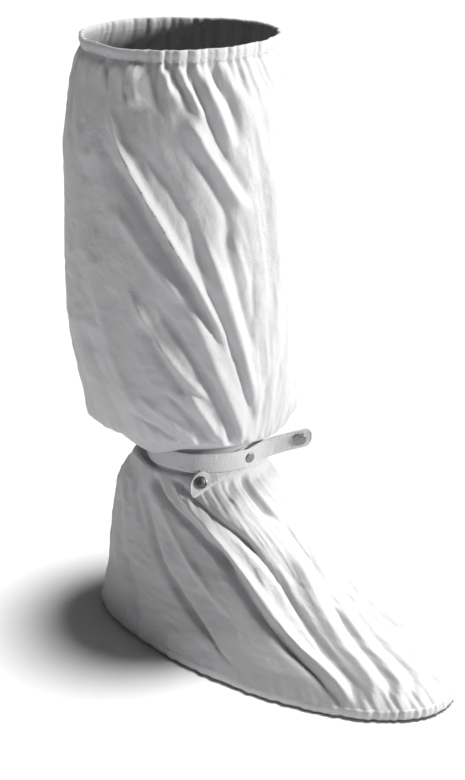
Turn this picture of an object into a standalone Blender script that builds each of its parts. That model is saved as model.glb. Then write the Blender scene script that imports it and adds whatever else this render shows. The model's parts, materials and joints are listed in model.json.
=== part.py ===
"""A boot cover of white nonwoven cloth, in the form that it has when it is worn.

The cloth body is one tube from the sole to the top hem. A strap cinches it at the ankle,
with its two free ends crossed in front and press studs on them.
Frame: metres, +Z up, toe towards +X, the floor at Z = 0, the origin under the foot's middle.
The right side, -Y, is the one with the low free end of the strap.
"""

import math

import bpy
from mathutils import Vector

# Driving dimensions
HEIGHT = 0.457              # floor to the top edge of the hem
FOOT_LENGTH = 0.308         # heel to toe, outside
FOOT_WIDTH = 0.127          # across the widest part of the sole
LEG_WIDTH = 0.172           # across the leg tube where it is fullest
ANKLE_WIDTH = 0.088         # across the cloth under the strap
ANKLE_HEIGHT = 0.1515       # floor to the strap's middle line
HEEL_TO_LEG = 0.074         # heel's back to the leg tube's axis
HEEL_TO_ANKLE = 0.092       # heel's back to the ankle's axis
HEEL_TO_WIDEST = 0.174      # heel's back to the widest part of the sole
FOOT_SHIFT = -0.014         # how far the foot's sole lies to the right of the leg
CLOTH = 0.0012              # thickness of the cloth wall
SEAM_GAP = 0.0003           # gap between two pieces that are sewn together

# Sole: a thin sheet whose edge turns up round the foot
SOLE_THICKNESS = 0.0018
SOLE_RIM = 0.0085           # floor to the top of the turned-up edge
SOLE_TUCK = 0.006           # how far the edge curls in under the foot

# Hem: the folded top edge with the elastic inside
HEM_HEIGHT = 0.008
HEM_THICKNESS = 0.0030
HEM_WAVES = 14              # gathers round the elastic
HEM_WAVE_DEPTH = 0.0016

# Strap
STRAP_WIDTH = 0.015
STRAP_THICKNESS = 0.0011
STRAP_MARGIN = 0.0020       # bare cloth above and below the strap
STRAP_GAP = 0.0005          # between the strap and the cloth
STRAP_TILT = 0.006          # how much higher the strap is in front
TILT_SIDE = -50.0           # degrees from the toe, where the strap is highest
LEG_SAG = 0.0095            # how far the leg tube sags round the strap at the back and sides
FOOT_RISE = 0.007           # how far the foot bulges up round the strap there
SAG_FROM = 65.0             # degrees from the toe where the sag starts
SAG_FULL = 112.0            # degrees from the toe where it is full
RISE_FROM = 100.0           # the same for the foot's bulge
RISE_FULL = 140.0
SAG_LEVELS = (0.003, 0.009, 0.010, 0.040)   # levels where the sag starts, is full, eases, ends
RISE_LEVELS = (0.007, 0.022, 0.024, 0.060)  # the same below the strap, for the bulge
TILT_ENDS_UP = 0.35         # level above the strap where its tilt no longer shows
TILT_ENDS_DOWN = 0.7        # level below it
OUTER_TURN = 0.0048         # offset of the outer turn's middle from the cloth
OUTER_FROM = 285.0          # degrees round from the crossing where the strap starts to rise
OUTER_FULL = 312.0          # degrees where it lies over the other end
CROSSING = -19.0            # degrees from the toe, where the two ends cross
LOW_TAIL_ARC = 36.0         # degrees that the low tail follows round the cloth
LOW_TAIL_DROP = 0.010       # how far it has come down from the strap by then
LOW_TAIL_LIFT = 0.0008      # its way off the cloth where it passes under the outer turn
LOW_TAIL_LEAN = 0.20        # how much its end leans out, as a slope
LOW_TAIL_FREE = 0.0175      # length of its straight end
HIGH_TAIL_LENGTH = 0.0505   # the end that stands out past the front
HIGH_TAIL_SWING = 34.0      # degrees that it bends away from the ankle
HIGH_TAIL_RISE = 0.011
STRAP_LINES = (0.5, 0.17, -0.17, -0.5)  # mesh lines along the strap, as shares of its width
STRAP_SPAN = 0.0025         # the strap bridges a hollow of the cloth of this height
LOW_TAIL_STEPS = 9          # mesh stations along the strap's stretches
RING_STEPS = 40
HIGH_TAIL_STEPS = 8
TAIL_END_STEPS = 3

# Press studs
SNAP_RADIUS = 0.0048
SNAP_THICKNESS = 0.0016
SOCKET_RADIUS = 0.0038
SOCKET_THICKNESS = 0.0012
SNAP_TO_TAIL_END = 0.0085
SNAP_SEAT = 0.0006          # gap between a stud and the strap, which bends under it
SNAP_SIDES = 12

COLUMNS = 72                # mesh columns round the cloth

NECK_HEIGHT = STRAP_WIDTH + 2 * STRAP_MARGIN
STRAP_TOP = ANKLE_HEIGHT + NECK_HEIGHT / 2
STRAP_LOW = ANKLE_HEIGHT - NECK_HEIGHT / 2
BODY_TOP = HEIGHT - HEM_HEIGHT - SEAM_GAP
BODY_LOW = SOLE_RIM + SEAM_GAP
LEG_SPAN = BODY_TOP - STRAP_TOP
FOOT_SPAN = STRAP_LOW - BODY_LOW

HEEL_X = -FOOT_LENGTH / 2
TOE_X = FOOT_LENGTH / 2
LEG_X = HEEL_X + HEEL_TO_LEG
ANKLE_X = HEEL_X + HEEL_TO_ANKLE
WIDEST_X = HEEL_X + HEEL_TO_WIDEST

# Sections of the leg tube, from the hem down to the strap.
# level: share of the way up from the strap. back, front, side: share of the way out from
# the ankle's outline to the full leg tube's. steps: mesh rows down to the next section.
LEG_SECTIONS = [
    # name       level   back   front  side   steps
    ("rim",      1.000,  0.74,  0.14,  0.62,  1),
    ("gather",   0.960,  0.83,  0.44,  0.76,  1),
    ("upper",    0.885,  0.89,  0.82,  0.88,  1),
    ("calf",     0.770,  0.94,  0.93,  0.95,  2),
    ("middle",   0.600,  0.99,  1.00,  0.98,  2),
    ("low",      0.430,  1.03,  1.07,  0.99,  2),
    ("lower",    0.285,  0.99,  1.09,  0.96,  1),
    ("blouse",   0.180,  0.90,  1.01,  0.86,  1),
    ("sag",      0.105,  0.81,  0.87,  0.71,  1),
    ("bulge",    0.055,  0.76,  0.72,  0.52,  1),
    ("tuck",     0.024,  0.58,  0.54,  0.28,  1),
    ("pinch",    0.010,  0.16,  0.20,  0.12,  1),
    ("neck",     0.004,  0.10,  0.11,  0.08,  1),
    ("strap",    0.000,  0.00,  0.00,  0.00,  1),
]

# Sections of the foot, from the strap down to the sole.
# level: minus the share of the way down from the strap. back, front: share of the way out
# from the ankle's outline to the heel or the toe. middle: share of the way from the ankle's
# axis to the widest part. side: share of the way out to the foot's width. heel, toe: how
# square the outline is behind and in front, where 2 is an ellipse. shift: share of the way
# to the foot's place beside the leg.
FOOT_SECTIONS = [
    # name       level   back   front  middle side   heel  toe   shift  steps
    ("strap",    0.000,  0.00,  0.000, 0.00,  0.00,  2.0,  2.0,  0.00,  1),
    ("pinch",   -0.008,  0.08,  0.005, 0.00,  0.08,  2.0,  2.0,  0.00,  1),
    ("neck",    -0.024,  0.26,  0.012, 0.01,  0.19,  2.0,  2.0,  0.00,  1),
    ("shoulder", -0.070, 0.46,  0.030, 0.05,  0.27,  2.0,  2.0,  0.04,  1),
    ("instep",  -0.160,  0.61,  0.125, 0.14,  0.38,  2.0,  2.0,  0.10,  1),
    ("arch",    -0.280,  0.71,  0.240, 0.30,  0.47,  2.0,  2.0,  0.18,  1),
    ("middle",  -0.440,  0.78,  0.365, 0.50,  0.54,  2.0,  2.0,  0.32,  1),
    ("slope",   -0.600,  0.81,  0.480, 0.68,  0.63,  2.0,  2.0,  0.50,  2),
    ("toe_top", -0.760,  0.83,  0.645, 0.84,  0.76,  1.9,  2.0,  0.70,  1),
    ("toe",     -0.890,  0.87,  0.870, 0.94,  0.90,  1.85, 2.05, 0.88,  1),
    ("edge",    -1.000,  0.93,  0.995, 1.00,  1.00,  1.8,  2.1,  1.00,  0),
]

# Folds of the cloth. Each one runs from (level, angle) to (level, angle), where the angle is
# in degrees from the toe and the right side is negative. bend: degrees added half-way.
# width and depth are shares of the leg tube's width; a valley has a negative depth.
FOLDS = [
    # name              from level, angle  bend   to level, angle  width   depth
    ("leg_main_ridge",      0.93,  -93.0,   6.0,   0.05,  -26.0,  0.040,  0.032),
    ("leg_main_valley",     0.82,  -95.0,   4.0,   0.34,  -44.0,  0.045, -0.036),
    ("leg_second_ridge",    0.76,  -93.0,   9.0,   0.10,  -42.0,  0.055,  0.024),
    ("leg_side_valley",     0.56,  -98.0,   6.0,   0.14,  -56.0,  0.050, -0.020),
    ("leg_front_ridge",     0.66,  -48.0,   3.0,   0.06,  -22.0,  0.035,  0.020),
    ("leg_front_valley",    0.70,  -56.0,   4.0,   0.28,  -38.0,  0.035, -0.022),
    ("leg_high_ridge",      0.92,  -52.0,   2.0,   0.62,  -33.0,  0.035,  0.022),
    ("leg_high_valley",     0.90,  -43.0,   0.0,   0.62,  -27.0,  0.035, -0.026),
    ("leg_low_valley",      0.34,  -52.0,   2.0,   0.03,  -30.0,  0.040, -0.032),
    ("leg_crescent_ridge",  0.24,  -76.0,   6.0,   0.03,  -42.0,  0.040,  0.024),
    ("leg_crescent_valley", 0.18,  -92.0,   6.0,   0.03,  -54.0,  0.035, -0.022),
    ("leg_toe_valley",      0.58,  -20.0,   0.0,   0.06,  -14.0,  0.035, -0.014),
    ("leg_toe_ridge",       0.62,   -6.0,   0.0,   0.05,   -4.0,  0.040,  0.014),
    ("leg_left_ridge",      0.88,   86.0,  -6.0,   0.05,   24.0,  0.045,  0.028),
    ("leg_left_valley",     0.80,   98.0,  -6.0,   0.08,   40.0,  0.045, -0.030),
    ("leg_left_crescent",   0.40,  112.0,  -6.0,   0.04,   58.0,  0.050,  0.024),
    ("leg_left_dent",       0.62,   50.0,   0.0,   0.10,   14.0,  0.040, -0.024),
    ("leg_back_ridge",      0.86,  150.0,   6.0,   0.04,  176.0,  0.050,  0.022),
    ("leg_back_valley",     0.76,  172.0,   4.0,   0.05,  196.0,  0.045, -0.026),
    ("leg_back_crescent",   0.32,  128.0,   4.0,   0.03,  150.0,  0.045, -0.022),
    ("leg_heel_ridge",      0.44, -118.0,  -4.0,   0.04, -138.0,  0.050,  0.016),
    ("gather_side",         1.00,  -94.0,   0.0,   0.88,  -92.0,  0.034, -0.022),
    ("gather_a",            1.00,  -75.0,   0.0,   0.87,  -69.0,  0.034, -0.024),
    ("gather_b",            1.00,  -66.0,   0.0,   0.89,  -56.0,  0.034, -0.020),
    ("gather_c",            1.00,  -57.0,   2.0,   0.75,  -38.0,  0.034, -0.028),
    ("gather_d",            1.00,  -46.0,   2.0,   0.72,  -30.0,  0.034, -0.030),
    ("gather_e",            1.00,  -31.0,   0.0,   0.88,  -28.0,  0.034, -0.014),
    ("gather_toe",          1.00,   -8.0,   0.0,   0.86,   -9.0,  0.032, -0.018),
    ("gather_f",            1.00,   16.0,   0.0,   0.84,   20.0,  0.032, -0.024),
    ("gather_g",            1.00,   42.0,   0.0,   0.87,   50.0,  0.034, -0.022),
    ("gather_h",            1.00,   66.0,   0.0,   0.82,   76.0,  0.032, -0.028),
    ("gather_i",            1.00,   92.0,   0.0,   0.88,   98.0,  0.034, -0.020),
    ("gather_j",            1.00,  118.0,   0.0,   0.84,  126.0,  0.032, -0.026),
    ("gather_k",            1.00,  146.0,   0.0,   0.88,  150.0,  0.034, -0.022),
    ("gather_back",         1.00,  172.0,   0.0,   0.84,  178.0,  0.034, -0.026),
    ("gather_l",            1.00,  200.0,   0.0,   0.88,  204.0,  0.034, -0.020),
    ("gather_m",            1.00, -130.0,   0.0,   0.85, -126.0,  0.034, -0.022),
    ("gather_n",            1.00, -112.0,   0.0,   0.89, -110.0,  0.034, -0.018),
    ("foot_tongue_valley", -0.02,  -20.0,   2.0,  -0.30,  -26.0,  0.032, -0.034),
    ("foot_long_ridge",    -0.05,  -82.0,   6.0,  -1.00,  -68.0,  0.042,  0.036),
    ("foot_long_valley",   -0.02,  -69.0,  19.0,  -1.00,  -62.0,  0.042, -0.036),
    ("foot_side_valley",   -0.30,  -88.0,   8.0,  -1.00,  -84.0,  0.040, -0.030),
    ("foot_second_ridge",  -0.06,  -43.0,  14.0,  -1.00,  -57.0,  0.042,  0.028),
    ("foot_second_valley", -0.24,  -22.0,  15.0,  -1.00,  -48.0,  0.038, -0.030),
    ("foot_third_ridge",   -0.40,   -8.0,   8.0,  -1.00,  -42.0,  0.034,  0.020),
    ("foot_third_valley",  -0.50,    0.0,   6.0,  -1.00,  -36.0,  0.034, -0.024),
    ("foot_heel_valley",   -0.05, -118.0,   0.0,  -0.50, -124.0,  0.040, -0.026),
    ("foot_heel_ridge",    -0.04, -106.0,   6.0,  -0.60, -104.0,  0.036,  0.016),
    ("foot_heel_fold",     -0.04,  -97.0,   6.0,  -0.60,  -94.0,  0.036, -0.022),
    ("foot_back_valley",   -0.04, -158.0,   0.0,  -0.50, -152.0,  0.040, -0.022),
    ("foot_back_fold",     -0.04,  164.0,   0.0,  -0.60,  170.0,  0.045, -0.024),
    ("foot_left_heel",     -0.04,  122.0,   0.0,  -0.60,  118.0,  0.040, -0.026),
    ("foot_left_ridge",    -0.05,   84.0,  -6.0,  -1.00,   74.0,  0.042,  0.034),
    ("foot_left_valley",   -0.03,   68.0, -16.0,  -1.00,   64.0,  0.042, -0.034),
    ("foot_left_second",   -0.06,   44.0, -10.0,  -1.00,   54.0,  0.042,  0.026),
    ("foot_left_fold",     -0.20,   26.0, -12.0,  -1.00,   46.0,  0.038, -0.028),
    ("foot_left_side",     -0.30,   92.0,  -6.0,  -1.00,   88.0,  0.040, -0.026),
]
FOLD_CLEAR = 0.02           # level next to the strap without folds
FOLD_FULL = 0.16            # level from which the folds have their whole depth
FOLD_SEAM = -0.85           # level below which the folds flatten towards the sole
FOLD_AT_SEAM = 0.3          # share of their depth that is left at the sole


def lerp(start, end, share):
    return start + (end - start) * share


def smoothstep(low, high, value):
    share = min(1.0, max(0.0, (value - low) / (high - low)))
    return share * share * (3 - 2 * share)


def ankle_row(z):
    """The round outline under the strap, at height z."""
    half = ANKLE_WIDTH / 2
    return [z, ANKLE_X - half, ANKLE_X + half, ANKLE_X, half, 2.0, 2.0, 0.0]


def leg_row(level, back, front, side):
    ankle = ankle_row(0)
    leg_half = LEG_WIDTH / 2
    return [
        STRAP_TOP + level * LEG_SPAN,
        lerp(ankle[1], LEG_X - leg_half, back),
        lerp(ankle[2], LEG_X + leg_half, front),
        lerp(ANKLE_X, LEG_X, min(1.0, side)),
        lerp(ankle[4], leg_half, side),
        2.0,
        2.0,
        0.0,
    ]


def foot_row(level, back, front, middle, side, heel, toe, shift):
    ankle = ankle_row(0)
    return [
        STRAP_LOW + level * FOOT_SPAN,
        lerp(ankle[1], HEEL_X, back),
        lerp(ankle[2], TOE_X, front),
        lerp(ANKLE_X, WIDEST_X, middle),
        lerp(ankle[4], FOOT_WIDTH / 2, side),
        heel,
        toe,
        FOOT_SHIFT * shift,
    ]


# Every section as [z, back, front, middle, half width, heel, toe, y], from the top down
ROWS = [leg_row(*row[1:5]) for row in LEG_SECTIONS]
ROWS += [foot_row(*row[1:9]) for row in FOOT_SECTIONS]
STEPS = [row[-1] for row in LEG_SECTIONS] + [row[-1] for row in FOOT_SECTIONS]
STRAP_ROW = len(LEG_SECTIONS) - 1   # number of the row at the strap's top edge


def slopes():
    """Slopes of each column of ROWS, chosen so that the profile never overshoots a section."""
    found = []
    for column in range(len(ROWS[0])):
        steps = [after[column] - before[column] for before, after in zip(ROWS, ROWS[1:])]
        line = [steps[0]]
        for before, after in zip(steps, steps[1:]):
            flat = before * after <= 0
            line.append(0.0 if flat else 2 * before * after / (before + after))
        found.append(line + [steps[-1]])
    return found


ROW_SLOPES = slopes()


def section_at(place):
    """The section at a place along the profile: 0 is the first row, 1 the second and so on."""
    place = min(max(place, 0.0), len(ROWS) - 1.0)
    i = min(int(place), len(ROWS) - 2)
    t = place - i
    values = []
    for column, line in enumerate(ROW_SLOPES):
        values.append(
            (2 * t**3 - 3 * t**2 + 1) * ROWS[i][column]
            + (t**3 - 2 * t**2 + t) * line[i]
            + (3 * t**2 - 2 * t**3) * ROWS[i + 1][column]
            + (t**3 - t**2) * line[i + 1]
        )
    return values


def level_of(section):
    """Share of the way up from the strap to the rim, or minus that down to the sole."""
    if section[0] > STRAP_TOP:
        return (section[0] - STRAP_TOP) / LEG_SPAN
    return min(0.0, (section[0] - STRAP_LOW) / FOOT_SPAN)


def outline_point(section, angle):
    """A point of a section's outline, with the strap's tilt. The angle is from the toe."""
    z, back, front, middle, half, heel, toe, y = section
    c, s = math.cos(math.radians(angle)), math.sin(math.radians(angle))
    power = toe if c >= 0 else heel
    reach = front - middle if c >= 0 else middle - back
    size = (abs(c) ** power + abs(s) ** power) ** (-1 / power)
    level = level_of(section)
    fade = 1 - smoothstep(0, TILT_ENDS_UP if level > 0 else TILT_ENDS_DOWN, abs(level))
    lift = STRAP_TILT * fade * math.cos(math.radians(angle - TILT_SIDE))
    if level > 0:
        starts, full, eases, ends = SAG_LEVELS
        side_from, side_full, height = SAG_FROM, SAG_FULL, -LEG_SAG
    else:
        starts, full, eases, ends = RISE_LEVELS
        side_from, side_full, height = RISE_FROM, RISE_FULL, FOOT_RISE
    share = smoothstep(side_from, side_full, abs((angle + 180) % 360 - 180))
    share *= smoothstep(starts, full, abs(level)) * (1 - smoothstep(eases, ends, abs(level)))
    lift += share * height
    return Vector((middle + reach * size * c, y + half * size * s, z + lift))


def base_point(place, angle):
    return outline_point(section_at(place), angle)


def base_normal(place, angle):
    """The outward direction of the smooth form, without its folds."""
    step = 0.03
    down = base_point(place + step, angle) - base_point(place - step, angle)
    along = base_point(place, angle + 1) - base_point(place, angle - 1)
    return down.cross(along).normalized()


def fold_height(place, angle):
    """How far the cloth stands out from the smooth form, from all the folds that pass here."""
    section = section_at(place)
    level = level_of(section)
    here = outline_point(section, angle)
    total = 0.0
    for _, level_a, angle_a, bend, level_b, angle_b, width, depth in FOLDS:
        share = (level - level_a) / (level_b - level_a)
        if share < -0.15 or share > 1.15 or level * level_b < 0:
            continue
        middle = lerp(angle_a, angle_b, share) + bend * 4 * share * (1 - share)
        turn = (angle - middle + 180) % 360 - 180
        if abs(turn) > 60:
            continue
        across = (here - outline_point(section, middle)).length / (width * LEG_WIDTH)
        ends = smoothstep(-0.15, 0.15, share) * smoothstep(-0.15, 0.15, 1 - share)
        if level_a == 1.0:
            ends = smoothstep(-0.15, 0.45, 1 - share)
        total += depth * LEG_WIDTH * ends * math.exp(-across * across)
    total *= 1 - (1 - FOLD_AT_SEAM) * smoothstep(-FOLD_SEAM, 1.0, -level)
    return total * smoothstep(FOLD_CLEAR, FOLD_FULL, abs(level))


def cloth_point(place, angle):
    return base_point(place, angle) + base_normal(place, angle) * fold_height(place, angle)


def row_places():
    places = []
    for i, steps in enumerate(STEPS):
        places += [i + k / steps for k in range(steps)]
    return places + [len(ROWS) - 1.0]


def column_angles():
    return [360 * k / COLUMNS for k in range(COLUMNS)]


def ring_faces(rings, closed=False):
    """Quads between rings of vertex numbers; closed joins the last ring to the first one."""
    faces = []
    pairs = list(zip(rings, rings[1:]))
    if closed:
        pairs.append((rings[-1], rings[0]))
    for upper, lower in pairs:
        count = len(upper)
        for k in range(count):
            faces.append((upper[k], lower[k], lower[(k + 1) % count], upper[(k + 1) % count]))
    return faces


def remove_everything():
    for obj in list(bpy.data.objects):
        bpy.data.objects.remove(obj)


def material(name, color, roughness, metallic=0.0):
    made = bpy.data.materials.new(name)
    made.use_nodes = True
    shader = made.node_tree.nodes["Principled BSDF"]
    shader.inputs["Base Color"].default_value = (*color, 1.0)
    shader.inputs["Roughness"].default_value = roughness
    shader.inputs["Metallic"].default_value = metallic
    made.diffuse_color = (*color, 1.0)
    return made


def add_solid(name, points, faces, color, roughness, metallic=0.0, smooth=True):
    mesh = bpy.data.meshes.new(name)
    mesh.from_pydata([tuple(point) for point in points], [], faces)
    mesh.validate()
    mesh.update()
    for polygon in mesh.polygons:
        polygon.use_smooth = smooth
    mesh.materials.append(material(name + "_material", color, roughness, metallic))
    obj = bpy.data.objects.new(name, mesh)
    bpy.context.scene.collection.objects.link(obj)
    return obj


def rings_to_solid(rings, closed=False, caps=False):
    """Points and faces of a solid from rings of points."""
    points, numbers = [], []
    for ring in rings:
        numbers.append(list(range(len(points), len(points) + len(ring))))
        points += ring
    faces = ring_faces(numbers, closed)
    if caps:
        faces.append(tuple(numbers[0]))
        faces.append(tuple(reversed(numbers[-1])))
    return points, faces


def grid_normals(rings):
    """Outward directions at the points of a tube that is given as rings."""
    found = []
    last = len(rings) - 1
    for i, ring in enumerate(rings):
        line = []
        for k in range(len(ring)):
            down = rings[min(i + 1, last)][k] - rings[max(i - 1, 0)][k]
            along = ring[(k + 1) % len(ring)] - ring[k - 1]
            line.append(down.cross(along).normalized())
        found.append(line)
    return found


def cloth_wall(outer, inner):
    """Points and triangles of the wall between two grids of points that close round.

    Both sides split a quad along the same diagonal, the shorter one, so the wall keeps its
    thickness in a sharp fold.
    """
    columns = len(outer[0])
    points = [point for ring in outer + inner for point in ring]
    far = len(points) // 2
    faces = []
    for i, (upper, lower) in enumerate(zip(outer, outer[1:])):
        for k in range(columns):
            n = (k + 1) % columns
            a, b, c, d = i * columns + k, (i + 1) * columns + k, (i + 1) * columns + n, i * columns + n
            if (upper[k] - lower[n]).length < (lower[k] - upper[n]).length:
                halves = ((a, b, c), (a, c, d))
            else:
                halves = ((a, b, d), (b, c, d))
            for p, q, r in halves:
                faces.append((p, q, r))
                faces.append((p + far, r + far, q + far))
            if i == 0:
                faces.append((a, d, d + far, a + far))
            if i == len(outer) - 2:
                faces.append((c, b, b + far, c + far))
    return points, faces


def build_body():
    outer = [[cloth_point(place, angle) for angle in column_angles()] for place in row_places()]
    inner = []
    for ring, normals in zip(outer, grid_normals(outer)):
        inner.append([point - normal * CLOTH for point, normal in zip(ring, normals)])
    # The two open edges are level, so that the hem and the sole meet them
    for i, edge in ((0, BODY_TOP), (-1, BODY_LOW)):
        for point in outer[i] + inner[i]:
            point.z = edge
    points, faces = cloth_wall(outer, inner)
    add_solid("boot_body", points, faces, (0.86, 0.86, 0.88), 0.75)


def build_sole():
    """A dish: its edge follows the body's lower edge, then curls in to the flat underside."""
    edge = [cloth_point(len(ROWS) - 1.0, angle) for angle in column_angles()]
    middle = Vector(((HEEL_X + TOE_X) / 2, FOOT_SHIFT, 0))
    steps = [
        # share of the tuck, share of the rim's height
        (0.00, 1.00),
        (-0.12, 0.55),
        (0.18, 0.18),
        (1.00, 0.00),
    ]

    def ring(tuck, z, inset):
        line = []
        for point in edge:
            inward = Vector((middle.x - point.x, middle.y - point.y, 0)).normalized()
            flat = Vector((point.x, point.y, 0)) + inward * (tuck * SOLE_TUCK + inset)
            line.append(Vector((flat.x, flat.y, z)))
        return line

    outer = [ring(tuck, height * SOLE_RIM, 0) for tuck, height in steps]
    thick = SOLE_THICKNESS
    inner = [
        ring(0.00, SOLE_RIM, CLOTH),
        ring(-0.12, SOLE_RIM * 0.60, CLOTH),
        ring(0.30, thick * 1.5, thick),
        ring(1.20, thick, thick),
    ]
    points, faces = rings_to_solid(inner[::-1] + outer)
    columns = len(edge)
    for start, z, flip in ((0, thick, True), (len(points) - columns, 0.0, False)):
        points.append(Vector((middle.x, middle.y, z)))
        hub = len(points) - 1
        for k in range(columns):
            a, b = start + k, start + (k + 1) % columns
            faces.append((hub, a, b) if flip else (hub, b, a))
    add_solid("sole", points, faces, (0.80, 0.80, 0.82), 0.6)


def build_hem():
    """The gathered band round the top, a soft tube that stands on the body's upper edge."""
    top = [cloth_point(0.0, angle) for angle in column_angles()]
    profile = [
        # share of the thickness outwards, share of the height
        (0.20, 0.00),
        (1.00, 0.25),
        (0.90, 0.80),
        (0.20, 1.00),
        (-0.45, 0.75),
        (-0.40, 0.10),
    ]
    rings = []
    for out, up in profile:
        ring = []
        for point, angle in zip(top, column_angles()):
            outward = Vector((point.x - LEG_X, point.y, 0)).normalized()
            wave = HEM_WAVE_DEPTH * math.cos(math.radians(angle * HEM_WAVES)) * max(0.0, out)
            place = point + outward * (out * HEM_THICKNESS / 1.5 - 0.0006 + wave)
            ring.append(Vector((place.x, place.y, BODY_TOP + SEAM_GAP + up * HEM_HEIGHT)))
        rings.append(ring)
    points, faces = rings_to_solid(rings[::-1], closed=True)
    add_solid("top_hem", points, faces, (0.88, 0.88, 0.90), 0.7)


def ring_height(angle):
    return ANKLE_HEIGHT + STRAP_TILT * math.cos(math.radians(angle - TILT_SIDE))


def cloth_reach(angle, z):
    """Distance from the ankle's axis to the cloth at this angle and height, folds included."""
    if abs(z - ring_height(angle)) <= NECK_HEIGHT / 2:
        return ANKLE_WIDTH / 2
    low, high = STRAP_ROW + 1.0, len(ROWS) - 1.0
    for _ in range(24):
        half = (low + high) / 2
        if base_point(half, angle).z > z:
            low = half
        else:
            high = half
    point = base_point(low, angle)
    return math.hypot(point.x - ANKLE_X, point.y) + max(0.0, fold_height(low, angle))


def strap_line(angle, middle_z, offset, span):
    """Points across the strap at a distance off the cloth; it bridges hollows of height span."""
    line = []
    side = Vector((math.cos(math.radians(angle)), math.sin(math.radians(angle)), 0))
    for across in STRAP_LINES:
        z = middle_z + across * STRAP_WIDTH
        reach = max(cloth_reach(angle, z + step) for step in (-span, 0.0, span))
        line.append(Vector((ANKLE_X, 0, z)) + side * (reach + offset))
    return line


def straight_end(start, heading, length, steps):
    """Lines across a flat strap end that runs on straight from a line of the strap."""
    top, low = start[0], start[-1]
    lines = []
    for i in range(1, steps + 1):
        move = heading * (length * i / steps)
        lines.append([top.lerp(low, 0.5 - share) + move for share in STRAP_LINES])
    return lines


def low_tail_lines():
    """The low end, from the crossing outwards: it follows the cloth, then it runs straight."""
    lines = []
    for i in range(1, LOW_TAIL_STEPS + 1):
        share = i / LOW_TAIL_STEPS
        angle = CROSSING - LOW_TAIL_ARC * share
        drop = LOW_TAIL_DROP * share ** 1.5
        offset = STRAP_GAP + STRAP_THICKNESS / 2 + LOW_TAIL_LIFT * smoothstep(0, 0.3, share)
        line = strap_line(angle, ring_height(angle) - drop, offset, STRAP_SPAN)
        flat = smoothstep(0.5, 1.0, share)
        for k, across in enumerate(STRAP_LINES):
            line[k] = line[k].lerp(line[0].lerp(line[-1], 0.5 - across), flat)
        lines.append(line)
    heading = (sum(lines[-1], Vector()) - sum(lines[-2], Vector())).normalized()
    outward = (lines[-1][1] - Vector((ANKLE_X, 0, lines[-1][1].z))).normalized()
    heading = (heading + outward * LOW_TAIL_LEAN).normalized()
    return lines + straight_end(lines[-1], heading, LOW_TAIL_FREE, TAIL_END_STEPS)


def strap_lines():
    """All the lines across the strap, from the low tail's end to the high tail's end."""
    inner_offset = STRAP_GAP + STRAP_THICKNESS / 2
    lines = low_tail_lines()[::-1]
    for i in range(RING_STEPS + 1):
        turn = 360 * i / RING_STEPS
        angle = CROSSING + turn
        offset = lerp(inner_offset, OUTER_TURN, smoothstep(OUTER_FROM, OUTER_FULL, turn))
        lines.append(strap_line(angle, ring_height(angle), offset, 0.0))
    spot = sum(lines[-1], Vector()) / len(lines[-1])
    step = HIGH_TAIL_LENGTH / HIGH_TAIL_STEPS
    for i in range(1, HIGH_TAIL_STEPS + 1):
        share = i / HIGH_TAIL_STEPS
        swing = HIGH_TAIL_SWING * smoothstep(0, 0.75, share)
        heading = math.radians(CROSSING + 90 - swing)
        spot = spot + Vector((math.cos(heading), math.sin(heading), 0)) * step
        rise = HIGH_TAIL_RISE * share
        line = []
        for across in STRAP_LINES:
            line.append(Vector((spot.x, spot.y, spot.z + rise + across * STRAP_WIDTH)))
        lines.append(line)
    return lines


def line_frames(lines):
    """For each line across the strap: its middle, its direction along, and its outward side."""
    frames = []
    last = len(lines) - 1
    for i, line in enumerate(lines):
        middle = (line[1] + line[2]) / 2
        before, after = lines[max(i - 1, 0)], lines[min(i + 1, last)]
        along = ((after[1] + after[2]) - (before[1] + before[2])).normalized()
        up = (line[0] - line[-1]).normalized()
        frames.append((middle, along, along.cross(up).normalized()))
    return frames


def build_strap(lines, frames):
    rings = []
    half = STRAP_THICKNESS / 2
    for line, (_, _, out) in zip(lines, frames):
        rings.append([point - out * half for point in line]
                     + [point + out * half for point in reversed(line)])
    points, faces = rings_to_solid(rings, caps=True)
    add_solid("ankle_strap", points, faces, (0.86, 0.86, 0.88), 0.7)


def build_stud(name, middle, along, out, radius, thickness, dome):
    """A turned disc that lies against the strap, its axis along out."""
    side = out.cross(along).normalized()
    forward = side.cross(out).normalized()
    base = STRAP_THICKNESS / 2 + SNAP_SEAT
    profile = [
        # share of the radius, share of the thickness
        (0.86, 0.00),
        (1.00, 0.28),
        (0.96, 0.70),
        (0.80, 1.00),
        (0.62, 0.78 if dome else 0.45),
        (0.30, 0.95 if dome else 0.45),
    ]
    rings = []
    for share, up in profile:
        ring = []
        for k in range(SNAP_SIDES):
            turn = math.radians(360 * k / SNAP_SIDES)
            arm = forward * math.cos(turn) + side * math.sin(turn)
            ring.append(middle + arm * radius * share + out * (base + thickness * up))
        rings.append(ring)
    points, faces = rings_to_solid(rings[::-1], caps=True)
    add_solid(name, points, faces, (0.30, 0.30, 0.31), 0.35, metallic=1.0)


def build_studs(frames):
    ends = []
    for end, before in ((frames[0], frames[1]), (frames[-1], frames[-2])):
        back = (before[0] - end[0]).normalized()
        ends.append((end[0] + back * SNAP_TO_TAIL_END, end[1], end[2]))
    low, high = ends
    crossing = frames[len(frames) - 1 - HIGH_TAIL_STEPS]
    low_back = (low[0], low[1], -low[2])
    high_back = (high[0], high[1], -high[2])
    build_stud("low_tail_snap", *low, SNAP_RADIUS, SNAP_THICKNESS, True)
    build_stud("low_tail_socket", *low_back, SOCKET_RADIUS, SOCKET_THICKNESS, False)
    build_stud("high_tail_snap", *high, SNAP_RADIUS, SNAP_THICKNESS, True)
    build_stud("high_tail_socket", *high_back, SOCKET_RADIUS, SOCKET_THICKNESS, False)
    build_stud("crossing_snap", *crossing, SOCKET_RADIUS, SOCKET_THICKNESS, True)


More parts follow.
